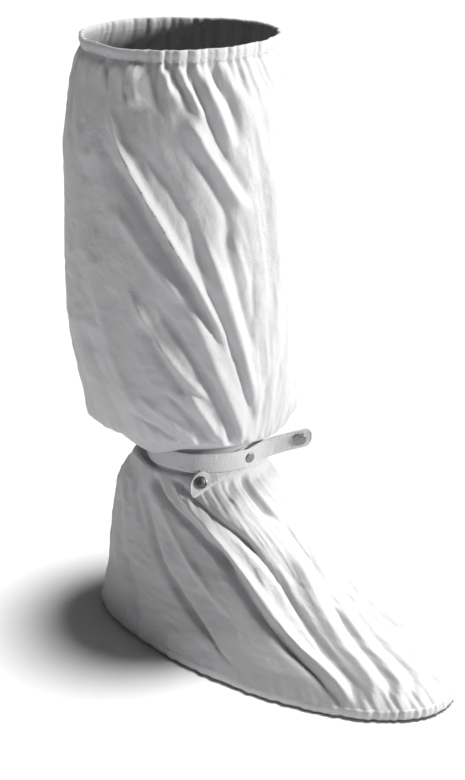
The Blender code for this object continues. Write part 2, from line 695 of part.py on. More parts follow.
remove_everything()
build_body()
build_sole()
build_hem()
strap = strap_lines()
strap_frames = line_frames(strap)
build_strap(strap, strap_frames)
build_studs(strap_frames)
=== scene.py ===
# %% Boot cover: setting up
import json
import math

import bpy
import numpy as np
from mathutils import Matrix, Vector

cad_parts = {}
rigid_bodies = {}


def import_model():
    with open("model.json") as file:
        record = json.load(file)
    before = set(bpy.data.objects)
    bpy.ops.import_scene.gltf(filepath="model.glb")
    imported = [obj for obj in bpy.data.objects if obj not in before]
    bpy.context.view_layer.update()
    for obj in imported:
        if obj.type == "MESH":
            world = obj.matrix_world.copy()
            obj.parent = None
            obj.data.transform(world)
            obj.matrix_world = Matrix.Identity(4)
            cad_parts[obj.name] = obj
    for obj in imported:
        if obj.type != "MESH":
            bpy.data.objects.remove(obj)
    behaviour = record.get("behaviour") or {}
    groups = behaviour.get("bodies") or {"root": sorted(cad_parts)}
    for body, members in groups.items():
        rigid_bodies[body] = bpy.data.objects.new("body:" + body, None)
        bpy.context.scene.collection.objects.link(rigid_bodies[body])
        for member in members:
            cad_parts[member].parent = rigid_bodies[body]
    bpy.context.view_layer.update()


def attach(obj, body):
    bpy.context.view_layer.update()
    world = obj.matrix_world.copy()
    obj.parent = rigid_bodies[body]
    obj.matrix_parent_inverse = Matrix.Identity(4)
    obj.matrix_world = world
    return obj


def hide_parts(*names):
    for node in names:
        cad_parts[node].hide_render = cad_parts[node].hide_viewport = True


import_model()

# %% [markdown]
# The object is a tall boot cover of thin white nonwoven cloth, worn over a shoe.
# Almost everything we see is one white cloth, so its folds carry the picture.
# We first set up the floor, the light and the camera, and then make the cloth from a form
# that is described by a few sections, with folds added on top.

# %% Floor and world
SCENE = bpy.context.scene


def add_object(name, data):
    made = bpy.data.objects.new(name, data)
    SCENE.collection.objects.link(made)
    return made


def mesh_from(name, points, faces, smooth=True):
    """A mesh object from arrays or lists of points and faces."""
    data = bpy.data.meshes.new(name)
    data.from_pydata([tuple(map(float, p)) for p in points], [], [tuple(map(int, f)) for f in faces])
    data.update()
    data.polygons.foreach_set("use_smooth", [smooth] * len(data.polygons))
    return add_object(name, data)


FLOOR_HALF = 6.0
floor_points = [(-FLOOR_HALF, -FLOOR_HALF, 0), (FLOOR_HALF, -FLOOR_HALF, 0),
                (FLOOR_HALF, FLOOR_HALF, 0), (-FLOOR_HALF, FLOOR_HALF, 0)]
floor = mesh_from("floor", floor_points, [(0, 1, 2, 3)], smooth=False)

world = bpy.data.worlds.new("studio")
SCENE.world = world
world.use_nodes = True
sky = world.node_tree.nodes["Background"]
sky.inputs["Color"].default_value = (0.93, 0.96, 1.0, 1.0)
sky.inputs["Strength"].default_value = 0.05
SCENE.view_settings.view_transform = "Standard"
print("floor of", 2 * FLOOR_HALF, "m and a dim world")

# %% [markdown]
# The picture has a white floor, a bright right side, a grey left side and a short dark shadow.
# Three soft lights do this, and light linking tells each of them what it may light.
# The floor has a light of its own, almost overhead, which whitens it and throws the short
# shadow. A high light from behind on the right brightens all cloth that slopes upwards, and a
# small one at the right side rakes over the cloth, so that each fold has a light and a dark side.

# %% Kinds of light
LIT_POINT = Vector((0.0, 0.0, 0.20))


def area_light(name, place, size, power, color):
    """A round lamp of this size in metres, which points at the middle of the boot."""
    data = bpy.data.lights.new(name, "AREA")
    data.shape = "DISK"
    data.size = size
    data.energy = power
    data.color = color
    lamp = add_object(name, data)
    lamp.location = place
    lamp.rotation_euler = (LIT_POINT - Vector(place)).to_track_quat("-Z", "Y").to_euler()
    return lamp


def sun_light(name, towards, height, spread, strength, color=(1, 1, 1)):
    """A distant soft light; height is its angle above the floor, spread its size, in degrees."""
    data = bpy.data.lights.new(name, "SUN")
    data.angle = math.radians(spread)
    data.energy = strength
    data.color = color
    lamp = add_object(name, data)
    flat = Vector((*towards, 0)).normalized() * math.cos(math.radians(height))
    ray = Vector((-flat.x, -flat.y, -math.sin(math.radians(height))))
    lamp.rotation_euler = ray.to_track_quat("-Z", "Y").to_euler()
    return lamp


print("two kinds of light: a round lamp and a distant one")

# %% [markdown]
# The shadow's length follows from how high the floor's light stands, and its soft edge from
# how wide that light is. The small side light gives crisper edges on the folds.

# %% Three lights
floor_light = sun_light("floor_light", towards=(0.70, 0.72), height=82.0, spread=13.0, strength=4.1)
high_light = sun_light("high_light", towards=(0.6, 0.8), height=76.0, spread=16.0, strength=3.3,
                       color=(1.0, 0.99, 0.97))
side_light = area_light("side_light", place=(1.22, 0.44, 0.58), size=0.26, power=23.5,
                        color=(1.0, 0.995, 0.98))


def link_light(lamp, state):
    """Light linking with the floor: the lamp skips it, or lights nothing else."""
    linked = bpy.data.collections.new(lamp.name + "_links")
    linked.objects.link(floor)
    linked.collection_objects[0].light_linking.link_state = state
    lamp.light_linking.receiver_collection = linked


link_light(high_light, "EXCLUDE")
link_light(side_light, "EXCLUDE")
link_light(floor_light, "INCLUDE")

# %% [markdown]
# The camera stands about a metre away, higher than the rim, and looks down a little, so that
# we see into the opening and onto the instep. Its azimuth is measured round the boot from the
# side of the hanging strap end, towards the toe.

# %% Camera
AZIMUTH = math.radians(31.5)
DISTANCE = 1.0
CAMERA_HEIGHT = 0.623
AIM = Vector((-0.039, 0.0, 0.200))
FOCAL_SHARE = 1472 / 780    # focal length as a share of the picture's long side

camera_data = bpy.data.cameras.new("camera")
camera_data.sensor_width = 36.0
camera_data.lens = FOCAL_SHARE * 36.0
camera = add_object("camera", camera_data)
away = Vector((math.sin(AZIMUTH), -math.cos(AZIMUTH), 0)) * DISTANCE
camera.location = Vector((AIM.x, AIM.y, CAMERA_HEIGHT)) + away
camera.rotation_euler = (AIM - camera.location).to_track_quat("-Z", "Y").to_euler()
SCENE.camera = camera
print("camera lens", round(camera_data.lens, 1), "mm")

# %% [markdown]
# Materials are node trees, and their maths reads best as ordinary Python expressions.
# The small class below wraps one socket and overloads the operators, so `a * 2 + b` makes
# the Math nodes for us. Colours are blended with Mix nodes.

# %% Values in expressions
FROM_MIN, FROM_MAX = 1, 2      # inputs of a Map Range node
COLOR_A, COLOR_B = 6, 7        # colour inputs of a Mix node
MIXED_COLOR = 2                # its colour output


class Value:
    """A node output that can be used in Python expressions."""

    def __init__(self, shader, socket):
        self.shader = shader
        self.socket = socket

    def _math(self, operation, first, second):
        return self.shader.node("ShaderNodeMath", {"operation": operation}, {0: first, 1: second})

    def __add__(self, other):
        return self._math("ADD", self, other)

    def __radd__(self, other):
        return self._math("ADD", other, self)

    def __sub__(self, other):
        return self._math("SUBTRACT", self, other)

    def __rsub__(self, other):
        return self._math("SUBTRACT", other, self)

    def __mul__(self, other):
        return self._math("MULTIPLY", self, other)

    def __rmul__(self, other):
        return self._math("MULTIPLY", other, self)

    def step(self, low, high):
        """0 below low and 1 above high, smooth between them."""
        settings = {"interpolation_type": "SMOOTHSTEP"}
        inputs = {"Value": self, FROM_MIN: low, FROM_MAX: high}
        return self.shader.node("ShaderNodeMapRange", settings, inputs)


print("values know + - * and step")

# %% [markdown]
# The second class holds a material's nodes. One method makes any node: it takes the node's
# type, its settings, and what goes into its sockets, which may be numbers or other values.
# Short methods on top of it name the nodes that we use most.

# %% Node trees
class Shader:
    """A material's node tree, with one method that makes any node."""

    def __init__(self, name):
        self.material = bpy.data.materials.new(name)
        self.material.use_nodes = True
        self.tree = self.material.node_tree
        self.principled = self.tree.nodes["Principled BSDF"]

    def node(self, kind, settings=None, inputs=None, output=0):
        made = self.tree.nodes.new(kind)
        for key, value in (settings or {}).items():
            setattr(made, key, value)
        for key, value in (inputs or {}).items():
            self.put(made.inputs[key], value)
        return Value(self, made.outputs[output])

    def put(self, socket, value):
        if isinstance(value, Value):
            self.tree.links.new(value.socket, socket)
        elif value is not None:
            socket.default_value = value

    def mix(self, share, first, second):
        """A colour between two colours."""
        settings = {"data_type": "RGBA"}
        inputs = {"Factor": share, COLOR_A: first, COLOR_B: second}
        return self.node("ShaderNodeMix", settings, inputs, output=MIXED_COLOR)

    def noise(self, place, scale, detail=3.0, roughness=0.5):
        inputs = {"Vector": place, "Scale": scale, "Detail": detail, "Roughness": roughness}
        return self.node("ShaderNodeTexNoise", {}, inputs)

    def bump(self, height, strength, distance, under=None):
        inputs = {"Height": height, "Strength": strength, "Distance": distance, "Normal": under}
        return self.node("ShaderNodeBump", {}, inputs)

    def set(self, **values):
        """Inputs of the Principled shader; an underscore stands for a space."""
        for key, value in values.items():
            self.put(self.principled.inputs[key.replace("_", " ")], value)
        return self.material


def dress(obj, material):
    """One material on the whole piece, which rides on the frame."""
    obj.data.materials.clear()
    obj.data.materials.append(material)
    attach(obj, "root")
    return obj


print("shader helpers ready")

# %% [markdown]
# Nonwoven cloth is a felt of fine fibres that is pressed together at a grid of tiny points.
# Close up it shows the points as dimples, fibres that run every way, and faint cloudy
# patches where the web is thicker. We build it from the object's own coordinates, in metres.

# %% Cloth material
OBJECT_PLACE = 3      # the Object output of a Texture Coordinate node
DIMPLES_PER_METRE = 850.0
BODY_WHITE = (0.56, 0.56, 0.573)
STRAP_WHITE = (0.55, 0.55, 0.563)


def cloth_material(name, color, cloud=1.0):
    """Pressed web of white fibres; cloud says how uneven the web is."""
    s = Shader(name)
    place = s.node("ShaderNodeTexCoord", output=OBJECT_PLACE)
    clouds = s.noise(place, 55.0, 4.0, 0.6)
    fibres = s.noise(place, 900.0, 6.0, 0.75)
    crumple = s.noise(place, 130.0, 5.0, 0.62)
    wrinkle = s.noise(place, 330.0, 4.0, 0.7)
    grid = {"Vector": place, "Scale": DIMPLES_PER_METRE}
    cells = s.node("ShaderNodeTexVoronoi", {"feature": "F1"}, grid)
    dimples = 1.0 - cells.step(0.10, 0.42)
    shade = (clouds - 0.5) * (0.10 * cloud) + (fibres - 0.5) * 0.05 - dimples * 0.03 + 0.5
    darker = tuple(c * 0.90 for c in color)
    lighter = tuple(c * 1.05 for c in color)
    base = s.mix(shade, (*darker, 1.0), (*lighter, 1.0))
    soft = s.bump(crumple, strength=0.34, distance=0.0014)
    fine = s.bump(wrinkle, strength=0.50, distance=0.0008, under=soft)
    grain = s.bump(fibres * 0.6 - dimples * 0.8, strength=0.40, distance=0.00028, under=fine)
    rough = (fibres - 0.5) * 0.2 + dimples * -0.10 + 0.62
    return s.set(Base_Color=base, Roughness=rough, Normal=grain, Sheen_Weight=0.15,
                 Sheen_Roughness=0.4, Specular_IOR_Level=0.35)


WHITE_CLOTH = cloth_material("white_nonwoven", BODY_WHITE)
print("material:", WHITE_CLOTH.name, "with", len(WHITE_CLOTH.node_tree.nodes), "nodes")

# %% [markdown]
# The floor is a sheet of matt white paper. Two noises are enough for it: a wide one that
# shifts the white a little, and a fine one that roughens it.

# %% Floor material
def floor_material():
    s = Shader("floor_paper")
    place = s.node("ShaderNodeTexCoord", output=OBJECT_PLACE)
    clouds = s.noise(place, 1.5, 3.0, 0.5)
    tooth = s.noise(place, 600.0, 3.0, 0.6)
    base = s.mix(clouds, (0.80, 0.80, 0.80, 1), (0.84, 0.84, 0.84, 1))
    return s.set(Base_Color=base, Roughness=(tooth - 0.5) * 0.1 + 0.85, Specular_IOR_Level=0.2)


floor.data.materials.append(floor_material())
print("floor material:", floor.data.materials[0].name)

# %% [markdown]
# Now the form. The body is a tube from the rim to the sole, tied in at the ankle.
# The sizes are those of the solid part, in metres, and angles are in degrees from the toe.

# %% Sizes of the body
HEIGHT = 0.457
FOOT_LENGTH = 0.308
FOOT_WIDTH = 0.127
FOOT_SHIFT = -0.014
LEG_WIDTH = 0.172
ANKLE_WIDTH = 0.088
ANKLE_HEIGHT = 0.1515
HEM_HEIGHT = 0.008
SOLE_RIM = 0.0085
STRAP_WIDTH = 0.015
STRAP_MARGIN = 0.0020
STRAP_TILT = 0.006
TILT_SIDE = -50.0
LEG_SAG = 0.0095
FOOT_RISE = 0.007
GAP = 0.0003

NECK_HEIGHT = STRAP_WIDTH + 2 * STRAP_MARGIN
STRAP_TOP = ANKLE_HEIGHT + NECK_HEIGHT / 2
STRAP_LOW = ANKLE_HEIGHT - NECK_HEIGHT / 2
BODY_TOP = HEIGHT - HEM_HEIGHT - GAP
BODY_LOW = SOLE_RIM + GAP
HEEL_X = -FOOT_LENGTH / 2
TOE_X = FOOT_LENGTH / 2
HEEL_TO_LEG = 0.074
HEEL_TO_ANKLE = 0.092
HEEL_TO_WIDEST = 0.174
LEG_X = HEEL_X + HEEL_TO_LEG
ANKLE_X = HEEL_X + HEEL_TO_ANKLE
WIDEST_X = HEEL_X + HEEL_TO_WIDEST
print("rim at", round(BODY_TOP * 1000), "mm, strap at", round(ANKLE_HEIGHT * 1000), "mm")

# %% [markdown]
# A section is the outline of the body at one height. Levels run from 1 at the rim to 0 at the
# strap and on to -1 at the sole. The other numbers are shares: 0 is the neck under the strap,
# and 1 is the full size of the leg or the foot. Heel and toe say how square the ends are.

# %% Sections of the body
LEG_SECTIONS = [
    # level   back   front  side
    (1.000,  0.74,  0.14,  0.62),
    (0.960,  0.83,  0.44,  0.76),
    (0.885,  0.89,  0.82,  0.88),
    (0.770,  0.94,  0.93,  0.95),
    (0.600,  0.99,  1.00,  0.98),
    (0.430,  1.03,  1.07,  0.99),
    (0.285,  0.99,  1.09,  0.96),
    (0.180,  0.90,  1.01,  0.86),
    (0.105,  0.86,  0.87,  0.75),
    (0.055,  0.87,  0.74,  0.63),
    (0.024,  0.48,  0.54,  0.24),
    (0.010,  0.16,  0.20,  0.12),
    (0.004,  0.10,  0.11,  0.08),
    (0.000,  0.00,  0.00,  0.00),
]
FOOT_SECTIONS = [
    # level   back   front  middle side   heel  toe   shift
    (0.000,  0.00,  0.000, 0.00,  0.00,  2.0,  2.0,  0.00),
    (-0.008, 0.08,  0.005, 0.00,  0.08,  2.0,  2.0,  0.00),
    (-0.024, 0.26,  0.012, 0.01,  0.19,  2.0,  2.0,  0.00),
    (-0.070, 0.46,  0.022, 0.05,  0.27,  2.0,  2.0,  0.04),
    (-0.160, 0.61,  0.102, 0.14,  0.38,  2.0,  2.0,  0.10),
    (-0.280, 0.71,  0.218, 0.30,  0.47,  2.0,  2.0,  0.18),
    (-0.440, 0.78,  0.338, 0.49,  0.54,  2.0,  2.0,  0.32),
    (-0.600, 0.81,  0.450, 0.67,  0.63,  2.0,  2.0,  0.50),
    (-0.760, 0.83,  0.632, 0.84,  0.76,  1.9,  2.0,  0.70),
    (-0.890, 0.87,  0.900, 0.94,  0.90,  1.85, 2.05, 0.88),
    (-1.000, 0.93,  0.995, 1.00,  1.00,  1.8,  2.1,  1.00),
]


def lerp(start, end, share):
    return start + (end - start) * share


def smooth(low, high, value):
    share = np.clip((value - low) / (high - low), 0.0, 1.0)
    return share * share * (3 - 2 * share)


def section_rows():
    """Each section as [level, height, back, front, middle, half width, heel, toe, y]."""
    half, leg = ANKLE_WIDTH / 2, LEG_WIDTH / 2
    rows = []
    for level, back, front, side in LEG_SECTIONS:
        rows.append([level, lerp(STRAP_TOP, BODY_TOP, level),
                     lerp(ANKLE_X - half, LEG_X - leg, back),
                     lerp(ANKLE_X + half, LEG_X + leg, front),
                     lerp(ANKLE_X, LEG_X, min(1.0, side)), lerp(half, leg, side), 2.0, 2.0, 0.0])
    for level, back, front, middle, side, heel, toe, shift in FOOT_SECTIONS:
        rows.append([level, lerp(STRAP_LOW, BODY_LOW, -level),
                     lerp(ANKLE_X - half, HEEL_X, back),
                     lerp(ANKLE_X + half, TOE_X, front),
                     lerp(ANKLE_X, WIDEST_X, middle), lerp(half, FOOT_WIDTH / 2, side),
                     heel, toe, FOOT_SHIFT * shift])
    return np.array(rows)


ROWS = section_rows()
print(len(LEG_SECTIONS), "sections of the leg and", len(FOOT_SECTIONS), "of the foot")

# %% [markdown]
# Between two sections the numbers follow a smooth curve that never overshoots. Where a number
# turns back, its slope is set to zero, and elsewhere it is the harmonic mean of both sides.

# %% Curves through the sections
def row_slopes():
    steps = np.diff(ROWS, axis=0)
    before, after = steps[:-1], steps[1:]
    product = before * after
    inner = np.where(product > 0, 2 * product / np.where(before + after == 0, 1, before + after), 0.0)
    return np.vstack([steps[:1], inner, steps[-1:]])


SLOPES = row_slopes()


def sections_at(places):
    """Interpolated sections at places along the profile, one row each."""
    places = np.clip(places, 0, len(ROWS) - 1.0)
    i = np.minimum(places.astype(int), len(ROWS) - 2)
    t = (places - i)[:, None]
    return ((2 * t**3 - 3 * t**2 + 1) * ROWS[i] + (t**3 - 2 * t**2 + t) * SLOPES[i]
            + (3 * t**2 - 2 * t**3) * ROWS[i + 1] + (t**3 - t**2) * SLOPES[i + 1])


neck_middle = sections_at(np.array([len(LEG_SECTIONS) - 0.5]))[0, 1]
print("middle of the neck at", round(float(neck_middle) * 1000, 1), "mm")

# %% [markdown]
# An outline is an ellipse whose back and front halves can be squarer. The strap sits a little
# higher on one side, and behind it the leg sags over the strap while the heel bulges up to
# meet it. All outlines together give a smooth form without folds.

# %% The smooth form
# Behind the strap, between these angles from the toe, the leg sags and the heel bulges up
SAG_ANGLES = (65, 112)
RISE_ANGLES = (100, 140)
# Levels at which this starts, is full, begins to fade and ends
SAG_LEVELS = (0.003, 0.009, 0.010, 0.040)
RISE_LEVELS = (0.007, 0.022, 0.024, 0.060)


def hump(levels, value):
    """0, rising to 1 between the first two levels, and back to 0 between the last two."""
    start, full, hold, end = levels
    return smooth(start, full, value) * (1 - smooth(hold, end, value))


def outline(sections, angles):
    """Points of the outlines at these angles (degrees from the toe), tilt and sag included."""
    level, z, back, front, middle, half, heel, toe, y = [c[:, None] for c in sections.T]
    c, s = np.cos(np.radians(angles)), np.sin(np.radians(angles))
    power = np.where(c >= 0, toe, heel)
    reach = np.where(c >= 0, front - middle, middle - back)
    size = (np.abs(c) ** power + np.abs(s) ** power) ** (-1 / power)
    lift = STRAP_TILT * np.cos(np.radians(angles - TILT_SIDE))
    lift = lift * np.where(level > 0, 1 - smooth(0, 0.35, level), 1 - smooth(0, 0.7, -level))
    from_toe = np.abs((angles + 180) % 360 - 180)
    sag = hump(SAG_LEVELS, level) * smooth(*SAG_ANGLES, from_toe)
    rise = hump(RISE_LEVELS, -level) * smooth(*RISE_ANGLES, from_toe)
    lift = lift - LEG_SAG * sag + FOOT_RISE * rise
    return np.stack([middle + reach * size * c, y + half * size * s, z + lift], axis=-1)


def even_places(count):
    """Places along the profile whose outlines are about evenly spaced over the cloth."""
    fine = np.linspace(0, len(ROWS) - 1, 3000)
    points = outline(sections_at(fine), np.array([[-150.0, -90.0, -40.0, 40.0, 120.0]]))
    steps = np.linalg.norm(np.diff(points, axis=0), axis=-1).mean(axis=1) + 1e-5
    run = np.concatenate([[0], np.cumsum(steps)])
    return np.interp(np.linspace(0, run[-1], count), run, fine)


PROFILE_ROWS = 250
COLUMNS = 380
places = even_places(PROFILE_ROWS)
sections = sections_at(places)
angles = np.linspace(-180, 180, COLUMNS, endpoint=False)[None, :]
smooth_form = outline(sections, angles)
print("grid of", smooth_form.shape[:2], "points")

# %% [markdown]
# Next come the folds, the heart of the picture. Each row of a table is one fold that runs
# over the cloth from a level and angle to another, with a bend half-way. Widths and depths
# are in millimetres. A positive depth is a ridge and a negative one a valley.
# Cloth that is gathered at the rim drops away in short valleys, and from there long ridges
# are drawn down and round towards the crossing of the strap. The right side is negative.

# %% Folds of the leg
LEG_FOLDS = [
    # from level, angle, bend, to level, angle, width, depth
    # short valleys under the rim, and the ridges between them
    (1.00, -106.5,   1.2, 0.92,  -98.0, 3.2, -2.8),
    (0.99,  -92.0,   0.0, 0.92,  -87.0, 2.8, -2.2),
    (0.99,  -84.5,   0.0, 0.91,  -79.0, 5.6,  4.0),
    (1.00,  -76.0,   0.0, 0.90,  -68.5, 3.2, -4.4),
    (1.00,  -70.0,   1.0, 0.91,  -60.5, 3.0,  3.4),
    (1.00,  -66.5,   2.7, 0.90,  -54.0, 3.0, -3.8),
    (0.99,  -58.5,   0.0, 0.89,  -48.5, 2.8,  3.0),
    (1.00,  -52.5,  -3.0, 0.70,  -27.0, 3.2, -3.8),
    (0.99,  -48.0,   0.6, 0.82,  -34.5, 3.8,  2.8),
    (1.00,  -41.8,   2.5, 0.83,  -31.0, 3.8, -4.6),
    (1.00,  -33.0,   0.0, 0.90,  -28.0, 4.0,  1.4),
    (1.00,  -23.0,   0.0, 0.93,  -25.0, 3.2, -1.8),
    (1.00,   -9.0,   0.0, 0.90,   -9.0, 3.4, -2.2),
    (1.00,    8.0,   0.0, 0.86,   12.0, 3.2, -2.6),
    (1.00,   24.0,   0.0, 0.90,   30.0, 3.6, -2.4),
    (1.00,   40.0,   2.0, 0.80,   58.0, 3.4, -3.8),
    (0.99,   48.0,   0.0, 0.84,   62.0, 3.4,  2.4),
    (1.00,   56.0,   1.0, 0.88,   70.0, 3.2, -3.0),
    (1.00,   71.0,   0.0, 0.91,   80.0, 3.0, -2.6),
    (1.00,   88.0,   0.0, 0.86,   95.0, 3.6, -3.4),
    (1.00,  107.0,   0.0, 0.92,  110.0, 3.2, -2.4),
    (1.00,  124.0,   0.0, 0.84,  130.0, 3.6, -3.6),
    (1.00,  143.0,   0.0, 0.91,  147.0, 3.0, -2.2),
    (1.00,  160.0,   0.0, 0.82,  166.0, 3.6, -3.4),
    (1.00,  177.0,   0.0, 0.92,  180.0, 3.0, -2.4),
    (1.00, -166.0,   0.0, 0.86, -162.0, 3.6, -3.2),
    (1.00, -148.0,   0.0, 0.91, -145.0, 3.2, -2.2),
    (1.00, -133.0,   0.0, 0.86, -128.0, 3.6, -3.0),
    (1.00, -119.0,   0.0, 0.93, -115.0, 3.0, -1.8),
    # long folds of the right side
    (0.87,  -52.8,  -0.5, 0.67,  -29.9, 5.4,  4.4),
    (0.80,  -51.5,   3.7, 0.58,  -35.5, 4.2, -3.4),
    (0.85,  -90.2,   2.7, 0.36,  -40.5, 3.4,  5.6),
    (0.86,  -91.0,   0.9, 0.55,  -57.2, 2.6,  2.8),
    (0.78,  -92.0,   2.0, 0.36,  -43.5, 4.6, -5.0),
    (0.80,  -74.0,   4.9, 0.52,  -49.0, 6.0, -2.8),
    (0.66,  -86.5,  -1.5, 0.46,  -58.0, 5.5,  2.8),
    (0.49,  -48.5,   2.0, 0.13,  -25.8, 3.2, -3.4),
    (0.60,  -47.5,   2.0, 0.16,  -24.5, 4.2,  3.4),
    (0.62,  -39.0,  -0.5, 0.34,  -26.0, 3.8, -2.4),
    (0.46,  -81.0,  -2.2, 0.20,  -50.0, 3.4,  3.8),
    (0.39,  -76.0,  -1.3, 0.19,  -57.0, 4.6, -4.0),
    (0.44,  -53.5,  -0.8, 0.02,  -27.0, 6.6,  4.4),
    (0.41,  -65.5,   2.5, 0.02,  -32.5, 3.4, -4.8),
    (0.22,  -58.5,   0.0, 0.02,  -38.5, 3.8,  4.2),
    (0.20,  -67.0,   0.0, 0.03,  -45.0, 3.2, -3.2),
    (0.18,  -79.0,   0.0, 0.03,  -52.0, 3.8,  2.6),
    (0.13,  -86.0,   0.0, 0.03,  -60.0, 3.2, -2.2),
    (0.28,   -5.5,  -2.9, 0.05,   -3.0, 3.2, -2.0),
    (0.52,  -24.5,   0.0, 0.38,  -25.0, 3.0, -1.2),
    (0.22,  -17.0,   0.0, 0.03,  -15.0, 3.0, -2.0),
    (0.74,  -12.0,   3.0, 0.30,  -12.0, 7.0,  1.6),
    (0.60, -104.0,  -3.0, 0.12,  -84.0, 8.0,  2.2),
    (0.34, -112.0,   0.0, 0.05,  -96.0, 6.0, -2.0),
    (0.30, -132.0,   0.0, 0.05, -122.0, 7.0, -2.0),
    # long folds of the left side and the back
    (0.88,   74.0,   0.0, 0.38,   30.0, 4.6,  4.4),
    (0.80,   82.0,  -2.0, 0.34,   36.0, 4.6, -4.6),
    (0.84,   50.0,   0.0, 0.52,   28.0, 5.0,  3.6),
    (0.72,   42.0,   0.0, 0.44,   22.0, 4.2, -3.2),
    (0.56,   66.0,   2.0, 0.06,   24.0, 6.4,  4.2),
    (0.46,   76.0,   0.0, 0.04,   32.0, 3.8, -4.4),
    (0.40,   92.0,   0.0, 0.05,   44.0, 4.6,  3.4),
    (0.34,  104.0,   0.0, 0.04,   58.0, 4.0, -3.6),
    (0.26,  118.0,   0.0, 0.04,   76.0, 5.0,  3.0),
    (0.38,   26.0,   0.0, 0.05,   12.0, 3.4, -3.0),
    (0.66,  118.0,  -3.0, 0.20,  100.0, 7.0,  3.2),
    (0.86,  146.0,   4.0, 0.30,  160.0, 5.6,  4.0),
    (0.76,  158.0,   3.0, 0.06,  172.0, 4.6, -4.2),
    (0.64,  176.0,  -3.0, 0.05,  190.0, 6.0,  3.6),
    (0.36,  196.0,   0.0, 0.04,  204.0, 4.4, -3.4),
    (0.30,  134.0,   3.0, 0.04,  146.0, 4.6, -3.4),
    (0.70, -136.0,   0.0, 0.34, -146.0, 6.0, -2.6),
]
print(len(LEG_FOLDS), "folds of the leg")

# %% [markdown]
# On the foot the folds fan out from the strap and run down and forward to the edge of the
# sole. The brightest one is the long ridge that ends near the ball of the foot.

# %% Folds of the foot
FOOT_FOLDS = [
    # from level, angle, bend, to level, angle, width, depth
    # right side
    (-0.02,  -20.5,  -1.2, -0.22,  -21.5, 4.2, -5.0),
    (-0.05,  -36.0,   0.0, -0.13,  -43.0, 3.0, -1.8),
    (-0.04,  -88.0,   3.0, -0.34,  -49.5, 4.2, -4.0),
    (-0.26,  -55.0,  12.0, -0.98,  -53.0, 3.8, -3.6),
    (-0.20,  -77.0,   4.5, -1.00,  -52.0, 5.0,  5.6),
    (-0.30,  -81.0,   1.7, -0.98,  -58.5, 4.6, -5.2),
    (-0.06,  -90.0,   0.0, -0.30,  -71.0, 3.4,  2.6),
    (-0.04, -106.0,  -3.2, -0.42,  -76.0, 3.8, -4.6),
    (-0.12, -116.0,  -7.6, -0.88,  -97.0, 4.4, -5.2),
    (-0.18, -104.5,  -1.5, -0.64,  -92.0, 5.0,  3.2),
    (-0.32,  -12.6,  10.2, -0.92,  -34.0, 3.6, -3.0),
    (-0.38,  -24.0,   7.8, -0.98,  -47.0, 6.0,  4.4),
    (-0.64,    4.5,   3.7, -0.94,  -25.0, 3.4, -3.2),
    (-0.62,   -8.5,   2.0, -0.96,  -34.0, 4.0,  2.8),
    (-0.58, -136.5,   0.0, -0.90, -133.0, 5.5, -3.4),
    (-0.20, -133.0,   0.0, -0.52, -134.5, 5.0,  1.8),
    (-0.05, -126.0,   0.0, -0.36, -122.0, 3.6, -2.4),
    (-0.82,   -2.0,   0.0, -0.98,   -8.0, 3.2, -1.8),
    (-0.86,   14.0,   0.0, -0.98,   12.0, 3.0, -1.6),
    # left side and heel
    (-0.04,   88.0,  -3.0, -0.36,   52.0, 4.4, -4.4),
    (-0.24,   58.0, -12.0, -0.98,   54.0, 4.6, -4.6),
    (-0.18,   76.0,  -4.0, -1.00,   58.0, 5.2,  5.2),
    (-0.30,   84.0,  -2.0, -0.98,   66.0, 4.6, -4.8),
    (-0.05,  106.0,   3.0, -0.42,   80.0, 3.8, -3.4),
    (-0.12,  118.0,   7.0, -0.86,   98.0, 4.8, -3.8),
    (-0.34,   18.0, -10.0, -0.92,   36.0, 4.0, -3.8),
    (-0.40,   30.0,  -8.0, -0.98,   47.0, 6.0,  4.0),
    (-0.60,    8.0,  -3.0, -0.94,   27.0, 3.4, -3.0),
    (-0.06,  150.0,   0.0, -0.50,  146.0, 4.6, -3.0),
    (-0.05,  176.0,   0.0, -0.64,  178.0, 5.0,  2.4),
    (-0.05, -164.0,   0.0, -0.56, -160.0, 4.6, -3.0),
    (-0.56,  136.0,   0.0, -0.90,  134.0, 5.5, -3.0),
]
FOLDS = LEG_FOLDS + FOOT_FOLDS
print(len(FOOT_FOLDS), "folds of the foot,", len(FOLDS), "in all")

# %% [markdown]
# A fold is highest along its middle line. Across it the height falls off like a bell with a
# slightly pointed top, because thin stiff cloth bends sharply at a crest. Along it the height
# fades at both ends. All folds fade out at the strap, and they flatten where the elastic and
# the sole's seam hold the cloth.

# %% Height of the folds
FOLD_CLEAR = 0.010      # levels beside the strap that stay smooth
FOLD_FULL = 0.075       # levels at which the folds reach their full height
FADE = 0.15             # share of a fold's length over which it fades, inside and outside
SLOW_FADE = 0.45        # the same for the lower end of a gather
REACH_DEGREES = 60


def wrapped(turn):
    return (turn + 180) % 360 - 180


def fold_crest(across):
    """Height across a fold, from 1 at its middle; across is in fold widths."""
    bell = np.exp(-across * across)
    point = np.exp(0.45 - 1.6 * np.sqrt(across * across + 0.08))
    return 0.55 * bell + 0.45 * point


